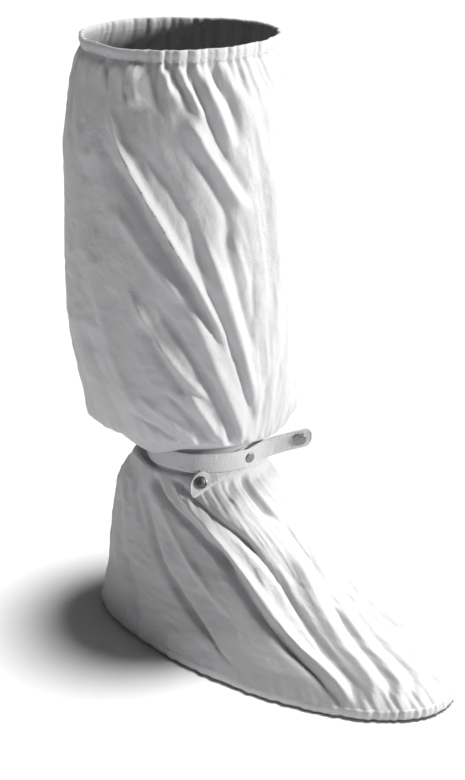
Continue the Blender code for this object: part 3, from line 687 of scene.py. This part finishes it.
def folds_height(sections, angles, here, table):
    """How far the folds of the table lift the cloth at every point of the grid."""
    level = sections[:, :1]
    total = np.zeros(here.shape[:2])
    for level_a, angle_a, bend, level_b, angle_b, width, depth in table:
        share = (level - level_a) / (level_b - level_a)
        live = ((share > -FADE) & (share < 1 + FADE) & (level * level_b >= 0))[:, 0]
        if not live.any():
            continue
        t = share[live]
        middle = lerp(angle_a, angle_b, t) + bend * 4 * t * (1 - t)
        centre = outline(sections[live], middle)
        across = np.linalg.norm(here[live] - centre, axis=-1) / (width / 1000)
        near = np.abs(wrapped(angles - middle)) < REACH_DEGREES
        ends = smooth(-FADE, FADE, t) * smooth(-FADE, FADE, 1 - t)
        if level_a == 1.0:
            ends = smooth(-FADE, SLOW_FADE, 1 - t)
        total[live] += np.where(near, depth / 1000 * ends * fold_crest(across), 0.0)
    # the sole's seam leaves 30 percent of the height, and the elastic leaves 40
    total *= (1 - 0.7 * smooth(0.85, 1.0, -level)) * (1 - 0.6 * smooth(0.965, 1.0, level))
    return total * smooth(FOLD_CLEAR, FOLD_FULL, np.abs(level))


main_folds = folds_height(sections, angles, smooth_form, FOLDS)
print("folds from", round(main_folds.min() * 1000, 1), "to", round(main_folds.max() * 1000, 1), "mm")

# %% [markdown]
# Beside the large folds the cloth has a crowd of small creases. We make them from value
# noise: random numbers on a coarse grid, joined smoothly. The grid closes round the leg, and
# its seed is fixed, so each run gives the same cloth. Stretching the grid along the folds
# turns round bumps into long creases.

# %% Noise for creases
def lattice_noise(turn, rise, cells_round, cells_up, seed):
    """Smooth noise from -1 to 1; turn runs from 0 to 1 round the leg and closes on itself."""
    table = np.random.default_rng(seed).uniform(-1, 1, (cells_up + 2, cells_round))
    x, y = (turn % 1.0) * cells_round, np.clip(rise, 0, 1) * cells_up
    i, j = np.floor(x).astype(int), np.floor(y).astype(int)
    fx, fy = x - i, y - j
    fx, fy = fx * fx * fx * (fx * (fx * 6 - 15) + 10), fy * fy * fy * (fy * (fy * 6 - 15) + 10)
    i0, i1 = i % cells_round, (i + 1) % cells_round
    low = lerp(table[j, i0], table[j, i1], fx)
    high = lerp(table[j + 1, i0], table[j + 1, i1], fx)
    return lerp(low, high, fy)


def creased(turn, rise, cells_round, cells_up, seed):
    """Like the noise, but with sharp crests, as a crease in stiff thin cloth has."""
    return 1 - 2.4 * np.abs(lattice_noise(turn, rise, cells_round, cells_up, seed))


sample = creased(np.linspace(0, 1, 400), np.linspace(0, 1, 400), 20, 20, 1)
print("creases run from", round(float(sample.min()), 1), "to", round(float(sample.max()), 1))

# %% [markdown]
# Creases follow the same slant as the folds. On the leg a crease that starts at some angle at
# the strap ends at a larger angle at the rim, and a short table says at which. On the foot
# the creases bow forward. So each point of the cloth gets a place in a straightened pattern:
# how far round it is, and how far up or down.

# %% Run of the creases
# Angles of a crease, in degrees from the toe
CREASE_RUN = [
    # at strap, at rim
    (0.0, 0.0), (14.0, 48.0), (28.0, 92.0), (60.0, 116.0), (110.0, 140.0), (180.0, 180.0),
]
FOOT_BOW = [
    # at strap, bow
    (0.0, 0.0), (30.0, 14.0), (60.0, 18.0), (85.0, 5.0), (180.0, 0.0),
]
BLUR = 17      # columns over which the angles of the table are smoothed
level = sections[:, :1]
size_of_angle = np.abs(angles)
at_strap, at_rim = zip(*CREASE_RUN)
rim_angle = np.interp(size_of_angle, at_strap, at_rim) * np.sign(angles)
kernel = np.hanning(BLUR) / np.hanning(BLUR).sum()
padded_angle = np.pad(rim_angle[0], BLUR // 2, mode="reflect", reflect_type="odd")
rim_angle = np.convolve(padded_angle, kernel, "valid")[None, :]
leg_turn = lerp(rim_angle, angles, np.clip(level, 0, 1)) / 360 + 0.5
bow = -np.sign(angles) * np.interp(size_of_angle, *zip(*FOOT_BOW))
down = np.clip(-level, 0, 1)
foot_turn = (angles - bow * 4 * down * (1 - down)) / 360 + 0.5
on_leg = level > 0
turn = np.where(on_leg, leg_turn, foot_turn)
rise = np.where(on_leg, np.clip(level, 0, 1), down) + 0 * angles
crease_swing = np.abs(leg_turn - angles / 360 - 0.5).max() * 360
print("crease lines turn by up to", round(float(crease_swing)), "degrees")

# %% [markdown]
# The creases come in four sizes, each weaker than the one before. They are added up and then
# faded out near the strap, where the cloth is pulled tight.

# %% Creases
CREASES = [
    # leg cells round, up   foot cells round, up   depth in mm  seed
    (17, 3, 19, 3, 0.70, 11),
    (34, 7, 38, 6, 0.42, 12),
    (70, 16, 76, 13, 0.28, 13),
    (130, 40, 140, 30, 0.11, 14),
]
crease = np.zeros_like(main_folds)
for leg_round, leg_up, foot_round, foot_up, depth, seed in CREASES:
    on = creased(turn, rise, leg_round, leg_up, seed)
    off = creased(turn, rise, foot_round, foot_up, seed + 40)
    crease += np.where(on_leg, on, off) * depth / 1000
round_bumps = lattice_noise(angles / 360 + 0.5, rise, 60, 44, 31) * 0.00022
crease = (crease + round_bumps) * smooth(0.03, 0.13, np.abs(level))
crease *= 1 - 0.55 * smooth(0.9, 1.0, np.abs(level))
print("creases to", round(float(np.abs(crease).max() * 1000), 2), "mm")

# %% [markdown]
# Small pleats are added where the cloth is gathered: under the hem, round the strap and along
# the seam of the sole. They are waves round the boot whose spacing wanders a little.

# %% Pleats
PLEATS = [
    # where    pleats round  depth in mm  seed
    ("rim",    52, 0.50, 21),
    ("rim",    83, 0.30, 22),
    ("strap",  44, 0.75, 23),
    ("strap",  71, 0.35, 24),
    ("sole",   58, 0.40, 25),
    ("sole",   97, 0.28, 26),
]
STRAP_PLEATS = (0.003, 0.012, 0.014, 0.042)      # metres from the strap, as for a hump


def pleats(count, seed):
    """Uneven pleats round the leg, each running straight up."""
    wander = lattice_noise(angles / 360 + 0.5, 0 * angles, 24, 1, seed)
    return np.cos(np.radians(angles * count) + wander * 2.6)


from_strap = np.where(on_leg, level * (BODY_TOP - STRAP_TOP), -level * (STRAP_LOW - BODY_LOW))
gathered = {
    "rim": smooth(0.88, 0.985, level),
    "strap": hump(STRAP_PLEATS, from_strap) * np.where(on_leg, 0.9, 0.5),
    "sole": smooth(0.86, 0.97, -level),
}
pleat = sum(depth / 1000 * pleats(count, seed) * gathered[where] for where, count, depth, seed in PLEATS)
print("pleats to", round(float(np.abs(pleat).max() * 1000), 2), "mm")

# %% [markdown]
# Each height moves the cloth straight out from its surface. We move it twice: the large
# folds go out from the smooth form, and the creases go out from the folded cloth.
# The result is one open tube of cloth, a single thin sheet.

# %% Body mesh
def unit(vectors):
    return vectors / np.linalg.norm(vectors, axis=-1, keepdims=True)


def outward(grid):
    """Unit directions out of a grid of points that closes round."""
    along = np.roll(grid, -1, axis=1) - np.roll(grid, 1, axis=1)
    return unit(np.cross(np.gradient(grid, axis=0), along))


def grid_faces(rows, columns):
    """Quads of a grid whose columns close round."""
    faces = []
    for i in range(rows - 1):
        for k in range(columns):
            n = (k + 1) % columns
            faces.append((i * columns + k, (i + 1) * columns + k, (i + 1) * columns + n, i * columns + n))
    return faces


folded = smooth_form + outward(smooth_form) * main_folds[..., None]
cloth = folded + outward(folded) * (crease + pleat)[..., None]
cloth[0, :, 2] = BODY_TOP
cloth[-1, :, 2] = BODY_LOW
body = mesh_from("boot_body_cloth", cloth.reshape(-1, 3), grid_faces(*cloth.shape[:2]))
dress(body, WHITE_CLOTH)
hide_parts("boot_body")
print("body:", len(body.data.polygons) * 2, "triangles")

# %% [markdown]
# The hem is the folded top edge with an elastic band inside. It is a soft flat tube that
# follows the gathered rim. We make it from one small closed profile, carried round the rim,
# and let it wave in and out as the elastic draws it in.

# %% Hem
HEM_PROFILE_POINTS = 16
HEM_HALF_THICK = 0.0013
HEM_TUCK = 0.0004        # the hem's lower edge lies this far below the rim of the body
PINCH_HEIGHT = 0.16      # where the stitches draw the hem in, as a share of its height
STITCHED_POINT = HEM_PROFILE_POINTS - 2      # outer point of the profile just below that
angle_row = angles[0]


def ring_noise(cells, seed):
    """Smooth noise from -1 to 1 along one line round the boot."""
    return lattice_noise(angle_row / 360 + 0.5, 0 * angle_row, cells, 1, seed)


rim = cloth[0]
rim_out = unit(outward(cloth)[0] * (1, 1, 0))
hem_wave = 0.0004 * np.cos(np.radians(angle_row * 14)) + 0.0006 * ring_noise(30, 51)
hem_fine = 0.00025 * pleats(61, 52)[0]
hem_lift = 0.0005 * ring_noise(17, 53)


def hem_ring(turn):
    """One line round the hem, at a place on its closed profile."""
    side_way, up_way = np.cos(turn), np.sin(turn)
    high = 0.5 + 0.5 * np.sign(up_way) * abs(up_way) ** 0.75
    thick = HEM_HALF_THICK * np.sign(side_way) * abs(side_way) ** 0.8
    thick *= 0.08 + 0.92 * smooth(0, 0.6, high)
    pinch = 1 - 0.15 * math.exp(-((high - PINCH_HEIGHT) / 0.07) ** 2)
    push = thick * pinch + (hem_wave + hem_fine) * (0.2 + 0.6 * high)
    ring = rim + rim_out * push[:, None]
    ring[:, 2] = BODY_TOP - HEM_TUCK + high * HEM_HEIGHT + hem_lift * high
    return ring


turns = np.linspace(0, 2 * np.pi, HEM_PROFILE_POINTS, endpoint=False)
hem_grid = np.array([hem_ring(turn_at) for turn_at in turns[::-1]])
hem_faces = grid_faces(*hem_grid.shape[:2])
last = len(hem_grid) - 1
for k in range(COLUMNS):
    n = (k + 1) % COLUMNS
    hem_faces.append((last * COLUMNS + k, k, n, last * COLUMNS + n))
hem = mesh_from("top_hem_band", hem_grid.reshape(-1, 3), hem_faces)
HEM_CLOTH = cloth_material("hem_nonwoven", BODY_WHITE, cloud=0.6)
dress(hem, HEM_CLOTH)
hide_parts("top_hem")
print("hem:", len(hem.data.polygons) * 2, "triangles")

# %% [markdown]
# The sole is a separate sheet of coated cloth. Its edge turns up round the foot and is sewn
# to the body, which leaves a soft rolled edge with small puckers. Under the foot it lies flat.

# %% Sole
SOLE_PROFILE = [
    # out (mm), height (mm), share of the puckers
    (-0.9, 10.4, 0.2), (-0.5, 9.8, 0.5), (-0.15, 9.3, 1.0), (0.08, 8.8, 1.0), (0.22, 8.1, 1.0),
    (0.30, 7.2, 0.9), (0.34, 6.2, 0.8), (0.30, 5.0, 0.7), (0.05, 3.8, 0.6), (-0.40, 2.6, 0.5),
    (-1.05, 1.6, 0.4), (-2.0, 0.7, 0.2), (-3.4, 0.15, 0.1), (-5.8, 0.0, 0.0),
]
TOWARDS_SPINE = (0.12, 0.25, 0.4, 0.55, 0.7, 0.85, 1.0)
seam = cloth[-1]
seam_out = unit(outward(cloth)[-1] * (1, 1, 0))
pucker = 0.00028 * pleats(97, 26)[0] + 0.0004 * ring_noise(60, 61)
sole_lift = 0.0009 * ring_noise(44, 62)
sole_rings = []
for out_mm, high_mm, share in SOLE_PROFILE:
    ring = seam + seam_out * (out_mm / 1000 + pucker * share)[:, None]
    ring[:, 2] = high_mm / 1000 + sole_lift * share
    sole_rings.append(ring)
spine_x = np.clip(seam[:, 0], HEEL_X + 0.04, TOE_X - 0.05)
spine = np.stack([spine_x, FOOT_SHIFT + 0 * spine_x, 0 * spine_x], axis=-1)
under = sole_rings[-1]
for share in TOWARDS_SPINE:
    ring = lerp(under, spine, share)
    ring[:, 2] = 0.0
    sole_rings.append(ring)
sole_grid = np.array(sole_rings)
sole = mesh_from("sole_sheet", sole_grid.reshape(-1, 3), grid_faces(*sole_grid.shape[:2]))
print("sole:", len(sole.data.polygons) * 2, "triangles")

# %% [markdown]
# The sole's cloth has a smooth coating, so that it grips and keeps wet out. The web shows
# through as soft speckles, and the sheet is shinier than the body.

# %% Sole material
SOLE_DARK = (0.53, 0.53, 0.545, 1)
SOLE_LIGHT = (0.61, 0.61, 0.625, 1)


def sole_material():
    s = Shader("coated_sole")
    place = s.node("ShaderNodeTexCoord", output=OBJECT_PLACE)
    clouds = s.noise(place, 70.0, 4.0, 0.6)
    web = s.noise(place, 700.0, 5.0, 0.7)
    crumple = s.noise(place, 160.0, 4.0, 0.6)
    speckle = (clouds - 0.5) * 0.5 + (web - 0.5) * 0.4 + 0.5
    base = s.mix(speckle, SOLE_DARK, SOLE_LIGHT)
    soft = s.bump(crumple, strength=0.4, distance=0.0010)
    grain = s.bump(web, strength=0.3, distance=0.00015, under=soft)
    rough = (web - 0.5) * 0.2 + 0.46
    return s.set(Base_Color=base, Roughness=rough, Normal=grain, Specular_IOR_Level=0.45)


dress(sole, sole_material())
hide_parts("sole")
print("sole dressed, its lowest point", round(float(sole_grid[..., 2].min() * 1000), 2), "mm")

# %% [markdown]
# The strap is a flat strip of folded cloth. We work out lines across it, one after another,
# and join them. Each line needs to know how far the cloth reaches out at its angle and height.
# A strap bridges small hollows, so it takes the largest reach among a few near places.

# %% Lines across the strap
STRAP_THICKNESS = 0.0011
STRAP_GAP = 0.0005
CROSSING = -19.0           # angle at which the strap crosses itself
BRIDGE_COLUMNS = 3
BRIDGE_HEIGHT = 0.0025
ACROSS = np.linspace(0.5, -0.5, 13)
MIDDLE = len(ACROSS) // 2
INNER_TURN = STRAP_GAP + STRAP_THICKNESS / 2
foot_rows = np.where(sections[:, 0] < -0.02)[0]


def direction(degrees):
    return np.array([math.cos(math.radians(degrees)), math.sin(math.radians(degrees)), 0.0])


def ring_height(angle):
    return ANKLE_HEIGHT + STRAP_TILT * math.cos(math.radians(angle - TILT_SIDE))


def cloth_reach(angle, z):
    """Distance from the ankle's axis to the cloth, with small hollows bridged."""
    if abs(z - ring_height(angle)) <= NECK_HEIGHT / 2:
        return ANKLE_WIDTH / 2
    column = round((angle + 180) / 360 * COLUMNS)
    best = ANKLE_WIDTH / 2
    for near in range(column - BRIDGE_COLUMNS, column + BRIDGE_COLUMNS + 1):
        points = cloth[foot_rows, near % COLUMNS]
        reach = np.hypot(points[:, 0] - ANKLE_X, points[:, 1])
        for step in (-BRIDGE_HEIGHT, 0.0, BRIDGE_HEIGHT):
            best = max(best, float(np.interp(z + step, points[::-1, 2], reach[::-1])))
    return best


def strap_line(angle, middle_z, offset):
    """A line across the strap that lies on the cloth, this far off it."""
    heights = middle_z + ACROSS * STRAP_WIDTH
    axis = np.array([ANKLE_X, 0.0, 0.0])
    return np.array([axis + direction(angle) * (cloth_reach(angle, z) + offset) + (0, 0, z)
                     for z in heights])


def flattened(line, share):
    """The line, drawn towards a straight one between its two ends."""
    straight = line[0] + (line[-1] - line[0]) * (0.5 - ACROSS)[:, None]
    return lerp(line, straight, share)


def soften(lines, width):
    """The lines smoothed along the strap, the two ends kept."""
    weights = np.hanning(width + 2)[1:-1]
    weights /= weights.sum()
    half = width // 2
    first, last = np.repeat(lines[:1], half, axis=0), np.repeat(lines[-1:], half, axis=0)
    padded = np.concatenate([first, lines, last])
    return sum(w * padded[i:i + len(lines)] for i, w in enumerate(weights))


print("strap in front at", round(ring_height(CROSSING) * 1000, 1), "mm")

# %% [markdown]
# The low end leaves the crossing and follows the cloth down to the right. On the way its lines
# grow straight, and then it lets go of the cloth and runs straight on as a free end.

# %% Low end of the strap
LOW_TAIL_ARC = 36.0
LOW_TAIL_DROP = 0.010
LOW_TAIL_LIFT = 0.0008
LOW_TAIL_LEAN = 0.20
LOW_TAIL_FREE = 0.0175
LOW_TAIL_LINES = 36
LOW_FREE_LINES = 14


def low_tail():
    lines = []
    for share in np.linspace(0, 1, LOW_TAIL_LINES + 1)[1:]:
        angle = CROSSING - LOW_TAIL_ARC * share
        middle_z = ring_height(angle) - LOW_TAIL_DROP * share ** 1.5
        line = strap_line(angle, middle_z, INNER_TURN + LOW_TAIL_LIFT * smooth(0, 0.3, share))
        lines.append(flattened(line, smooth(0.5, 1.0, share)))
    lines = soften(np.array(lines), 7)
    heading = unit(lines[-1].mean(axis=0) - lines[-3].mean(axis=0))
    from_axis = lines[-1][MIDDLE] - np.array([ANKLE_X, 0, lines[-1][MIDDLE][2]])
    heading = unit(heading + unit(from_axis) * LOW_TAIL_LEAN)
    steps = np.linspace(0, LOW_TAIL_FREE, LOW_FREE_LINES + 1)[1:]
    return np.concatenate([lines, flattened(lines[-1], 1.0) + heading * steps[:, None, None]])


low_lines = low_tail()
print("low end drops to", round(float(low_lines[-1, MIDDLE, 2]) * 1000), "mm")

# %% [markdown]
# From the crossing the strap goes once round. Near the end of its turn it climbs over itself,
# and then it stands off the ankle as a free end that swings forward and rises a little.

# %% Route of the strap
OUTER_TURN = 0.0048
OUTER_FROM = 285.0
OUTER_FULL = 312.0
TURN_LINES = 181
HIGH_TAIL_LENGTH = 0.0505
HIGH_TAIL_SWING = 34.0
HIGH_TAIL_RISE = 0.011
HIGH_TAIL_LINES = 40


def strap_route():
    lines = list(low_lines[::-1])
    for turn_angle in np.linspace(0, 360, TURN_LINES):
        angle = CROSSING + turn_angle
        offset = lerp(INNER_TURN, OUTER_TURN, smooth(OUTER_FROM, OUTER_FULL, turn_angle))
        lines.append(strap_line(angle, ring_height(angle), offset))
    spot = lines[-1].mean(axis=0)
    for share in np.arange(1, HIGH_TAIL_LINES + 1) / HIGH_TAIL_LINES:
        heading = CROSSING + 90 - HIGH_TAIL_SWING * smooth(0, 0.75, share)
        spot = spot + direction(heading) * HIGH_TAIL_LENGTH / HIGH_TAIL_LINES
        line = np.repeat(spot[None, :], len(ACROSS), axis=0)
        line[:, 2] += HIGH_TAIL_RISE * share + ACROSS * STRAP_WIDTH
        lines.append(line)
    return np.array(lines)


route = strap_route()
middles = route[:, MIDDLE]
run = np.concatenate([[0], np.cumsum(np.linalg.norm(np.diff(middles, axis=0), axis=1))])
print("strap of", round(run[-1] * 1000), "mm,", len(route), "lines across")

# %% [markdown]
# A folded strip is a little thicker at its sewn edges, and it is never quite flat.
# Each line gets an outer and an inner side, closed at the edges, with small wrinkles on it.
# The corners of the two ends are cut round.

# %% Strap
CORNER = 0.0045
STRAP_HALF = 0.00048
SEAM_DIP = 0.00016
SEAM_PLACE = 0.72        # share of the half width at which the seams press the strap
WRINKLES = [
    # depth in mm  cells along, across  seed
    (0.1925, 46, 2, 71),
    (0.0770, 120, 4, 72),
]
along = unit(np.gradient(middles, axis=0))
up = unit(route[:, 0] - route[:, -1])
strap_out = unit(np.cross(along, up))

to_end = np.minimum(run, run[-1] - run)
round_off = CORNER * (1 - np.sqrt(1 - np.clip(1 - to_end / CORNER, 0, 1) ** 2))
narrow = 1 - round_off / (STRAP_WIDTH / 2)
route = middles[:, None, :] + (route - middles[:, None, :]) * narrow[:, None, None]

edge_share = np.abs(ACROSS) * 2
half_thick = STRAP_HALF * np.sqrt(np.clip(1 - edge_share ** 10, 0.05, 1))
half_thick -= SEAM_DIP * np.exp(-((edge_share - SEAM_PLACE) / 0.07) ** 2)
strap_turn = run[:, None] / run[-1]
wrinkle = sum(depth / 1000 * lattice_noise(strap_turn, ACROSS[None, :] + 0.5, cells, rows, seed)
              for depth, cells, rows, seed in WRINKLES)
strap_middle = route + strap_out[:, None, :] * wrinkle[..., None]
outer_side = strap_middle + strap_out[:, None, :] * half_thick[None, :, None]
inner_side = strap_middle - strap_out[:, None, :] * half_thick[None, :, None]
strap_grid = np.concatenate([inner_side, outer_side[:, ::-1]], axis=1)
strap_faces = grid_faces(*strap_grid.shape[:2])
wide = strap_grid.shape[1]
half_wide = wide // 2
for start, flip in ((0, False), ((len(strap_grid) - 1) * wide, True)):
    for k in range(half_wide - 1):
        quad = [start + k, start + k + 1, start + wide - 2 - k, start + wide - 1 - k]
        strap_faces.append(tuple(quad if flip else quad[::-1]))
strap = mesh_from("ankle_strap_band", strap_grid.reshape(-1, 3), strap_faces)
STRAP_CLOTH = cloth_material("strap_nonwoven", STRAP_WHITE, cloud=0.6)
dress(strap, STRAP_CLOTH)
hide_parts("ankle_strap")
print("strap:", len(strap.data.polygons) * 2, "triangles")

# %% [markdown]
# The press studs are made of a dark plated metal. Two noises roughen it, so that its
# highlights look handled and not perfect.

# %% Metal
def metal_material(name, color):
    s = Shader(name)
    place = s.node("ShaderNodeTexCoord", output=OBJECT_PLACE)
    smudge = s.noise(place, 420.0, 4.0, 0.6)
    scratch = s.noise(place, 2600.0, 3.0, 0.7)
    dark = tuple(c * 0.75 for c in color)
    base = s.mix(smudge, (*dark, 1.0), (*color, 1.0))
    rough = (smudge - 0.5) * 0.25 + (scratch - 0.5) * 0.15 + 0.33
    grain = s.bump(scratch, strength=0.15, distance=0.00005)
    return s.set(Base_Color=base, Roughness=rough, Metallic=1.0, Normal=grain)


DARK_METAL = metal_material("dark_nickel", (0.27, 0.27, 0.275))
print("material:", DARK_METAL.name)

# %% [markdown]
# A stud is a low cap with a rolled rim on one side of the strap, and a ring-shaped socket
# behind it. A turned part is one profile spun round its axis. The profiles are shares of the
# radius and of the thickness.

# %% Turned parts
LARGE = (0.0048, 0.0016)      # radius and thickness
SMALL = (0.0038, 0.0012)
SPIN = 56
STUD_FOOT = 0.0005       # metres from the middle of the strap
CAP = [(0.90, 0.0), (0.98, 0.10), (1.0, 0.28), (0.99, 0.46), (0.95, 0.62), (0.89, 0.72), (0.82, 0.76),
       (0.77, 0.74), (0.73, 0.72), (0.66, 0.76), (0.52, 0.86), (0.36, 0.94), (0.18, 0.98), (0.04, 1.0)]
SOCKET = [(0.88, 0.0), (0.98, 0.15), (1.0, 0.45), (0.96, 0.80), (0.86, 1.0), (0.74, 1.0), (0.64, 0.82),
          (0.60, 0.50), (0.58, 0.25), (0.40, 0.22), (0.20, 0.24), (0.05, 0.25)]


def stud(node, middle, ahead, out, profile, radius, thick):
    """A profile spun round the outward direction, in place of one node of the part."""
    sideways = np.cross(out, ahead)
    points = []
    for share, high in profile:
        for a in 2 * math.pi * np.arange(SPIN) / SPIN:
            arm = ahead * math.cos(a) + sideways * math.sin(a)
            points.append(middle + arm * radius * share + out * (STUD_FOOT + thick * high))
    faces = [face[::-1] for face in grid_faces(len(profile), SPIN)]
    faces.append(tuple(range(SPIN))[::-1])
    faces.append(tuple(range(len(points) - SPIN, len(points))))
    made = mesh_from(node + "_turned", points, faces)
    dress(made, DARK_METAL)
    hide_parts(node)


print("profiles of", len(CAP), "and", len(SOCKET), "points")

# %% [markdown]
# A large stud sits near each end of the strap, with its socket on the other side, and a small
# one closes the crossing. Each is set square to the strap at its place.

# %% Placing the studs
SNAP_TO_TAIL_END = 0.0085


def station(distance):
    """Middle, direction and outward side of the strap at a distance from its low end."""
    i = int(np.argmin(np.abs(run - distance)))
    return middles[i], along[i], strap_out[i]


low_spot = station(SNAP_TO_TAIL_END)
high_spot = station(run[-1] - SNAP_TO_TAIL_END)
cross_spot = station(run[-1] - HIGH_TAIL_LENGTH)
STUDS = [
    # node, place, side of the strap, profile, size
    ("low_tail_snap", low_spot, 1, CAP, LARGE),
    ("low_tail_socket", low_spot, -1, SOCKET, SMALL),
    ("high_tail_snap", high_spot, 1, CAP, LARGE),
    ("high_tail_socket", high_spot, -1, SOCKET, SMALL),
    ("crossing_snap", cross_spot, 1, CAP, SMALL),
]
for node, (middle, ahead, out), side_sign, profile, (radius, thick) in STUDS:
    stud(node, middle, ahead, out * side_sign, profile, radius, thick)
print(len(STUDS), "turned parts")

# %% [markdown]
# Thread is what tells the eye that this is sewn. It is white and a little brighter than the
# cloth, and a fine noise stands for its twist.

# %% Thread
def thread_material():
    s = Shader("white_thread")
    place = s.node("ShaderNodeTexCoord", output=OBJECT_PLACE)
    twist = s.noise(place, 3000.0, 2.0, 0.5)
    base = s.mix(twist, (0.62, 0.62, 0.64, 1), (0.82, 0.82, 0.83, 1))
    return s.set(Base_Color=base, Roughness=0.6, Normal=s.bump(twist, 0.3, 0.0001))


THREAD = thread_material()
print("material:", THREAD.name)

# %% [markdown]
# Each stitch is a short bent tube whose two ends dip into the cloth. One helper lays a row of
# them along any path. The hem has one row near its lower edge, and the strap has two.

# %% Stitches
STITCH_BEND = [
    # along  lift  fatness
    (0.00, -0.60, 0.5),
    (0.18, 0.35, 1.0),
    (0.50, 0.75, 1.0),
    (0.82, 0.35, 1.0),
    (1.00, -0.60, 0.5),
]
TUBE_SIDES = 6


def stitches(name, path, normals, spacing, length, radius):
    """A row of stitches along a path of points with outward directions."""
    total = np.concatenate([[0], np.cumsum(np.linalg.norm(np.diff(path, axis=0), axis=1))])
    count = int(total[-1] / spacing)
    points, faces = [], []

    def at(where, values):
        return np.array([np.interp(where, total, values[:, c]) for c in range(3)])

    for i in range(count):
        first = len(points)
        begin = (i + 0.5) * total[-1] / count - length / 2
        for share, lift, fat in STITCH_BEND:
            where = begin + share * length
            spot = at(where, path)
            ahead = at(where + 1e-4, path) - spot
            ahead /= max(np.linalg.norm(ahead), 1e-9)
            normal = at(where, normals)
            side = np.cross(ahead, normal)
            for a in np.linspace(0, 2 * math.pi, TUBE_SIDES, endpoint=False):
                ring_way = side * math.cos(a) + normal * math.sin(a)
                points.append(spot + normal * radius * lift + ring_way * radius * fat)
        for quad in grid_faces(len(STITCH_BEND), TUBE_SIDES):
            faces.append(tuple(first + n for n in quad))
        faces.append(tuple(range(first, first + TUBE_SIDES)))
        faces.append(tuple(reversed(range(len(points) - TUBE_SIDES, len(points)))))
    return dress(mesh_from(name, points, faces), THREAD)


def closed_path(ring):
    return np.concatenate([ring, ring[:1]])


hem_row = closed_path(hem_grid[::-1][STITCHED_POINT])
hem_thread = stitches("hem_stitches", hem_row, closed_path(rim_out), spacing=0.0034, length=0.0026,
                      radius=0.00022)
for name, column in (("strap_top_stitches", 2), ("strap_low_stitches", 10)):
    stitches(name, outer_side[3:-3, column], strap_out[3:-3], spacing=0.0030,
                                  length=0.0023, radius=0.00020)

# %% [markdown]
# The body, the sole and the strap are sheets of cloth.

# %% The cloth
print("the body, the sole and the strap are sheets of cloth")
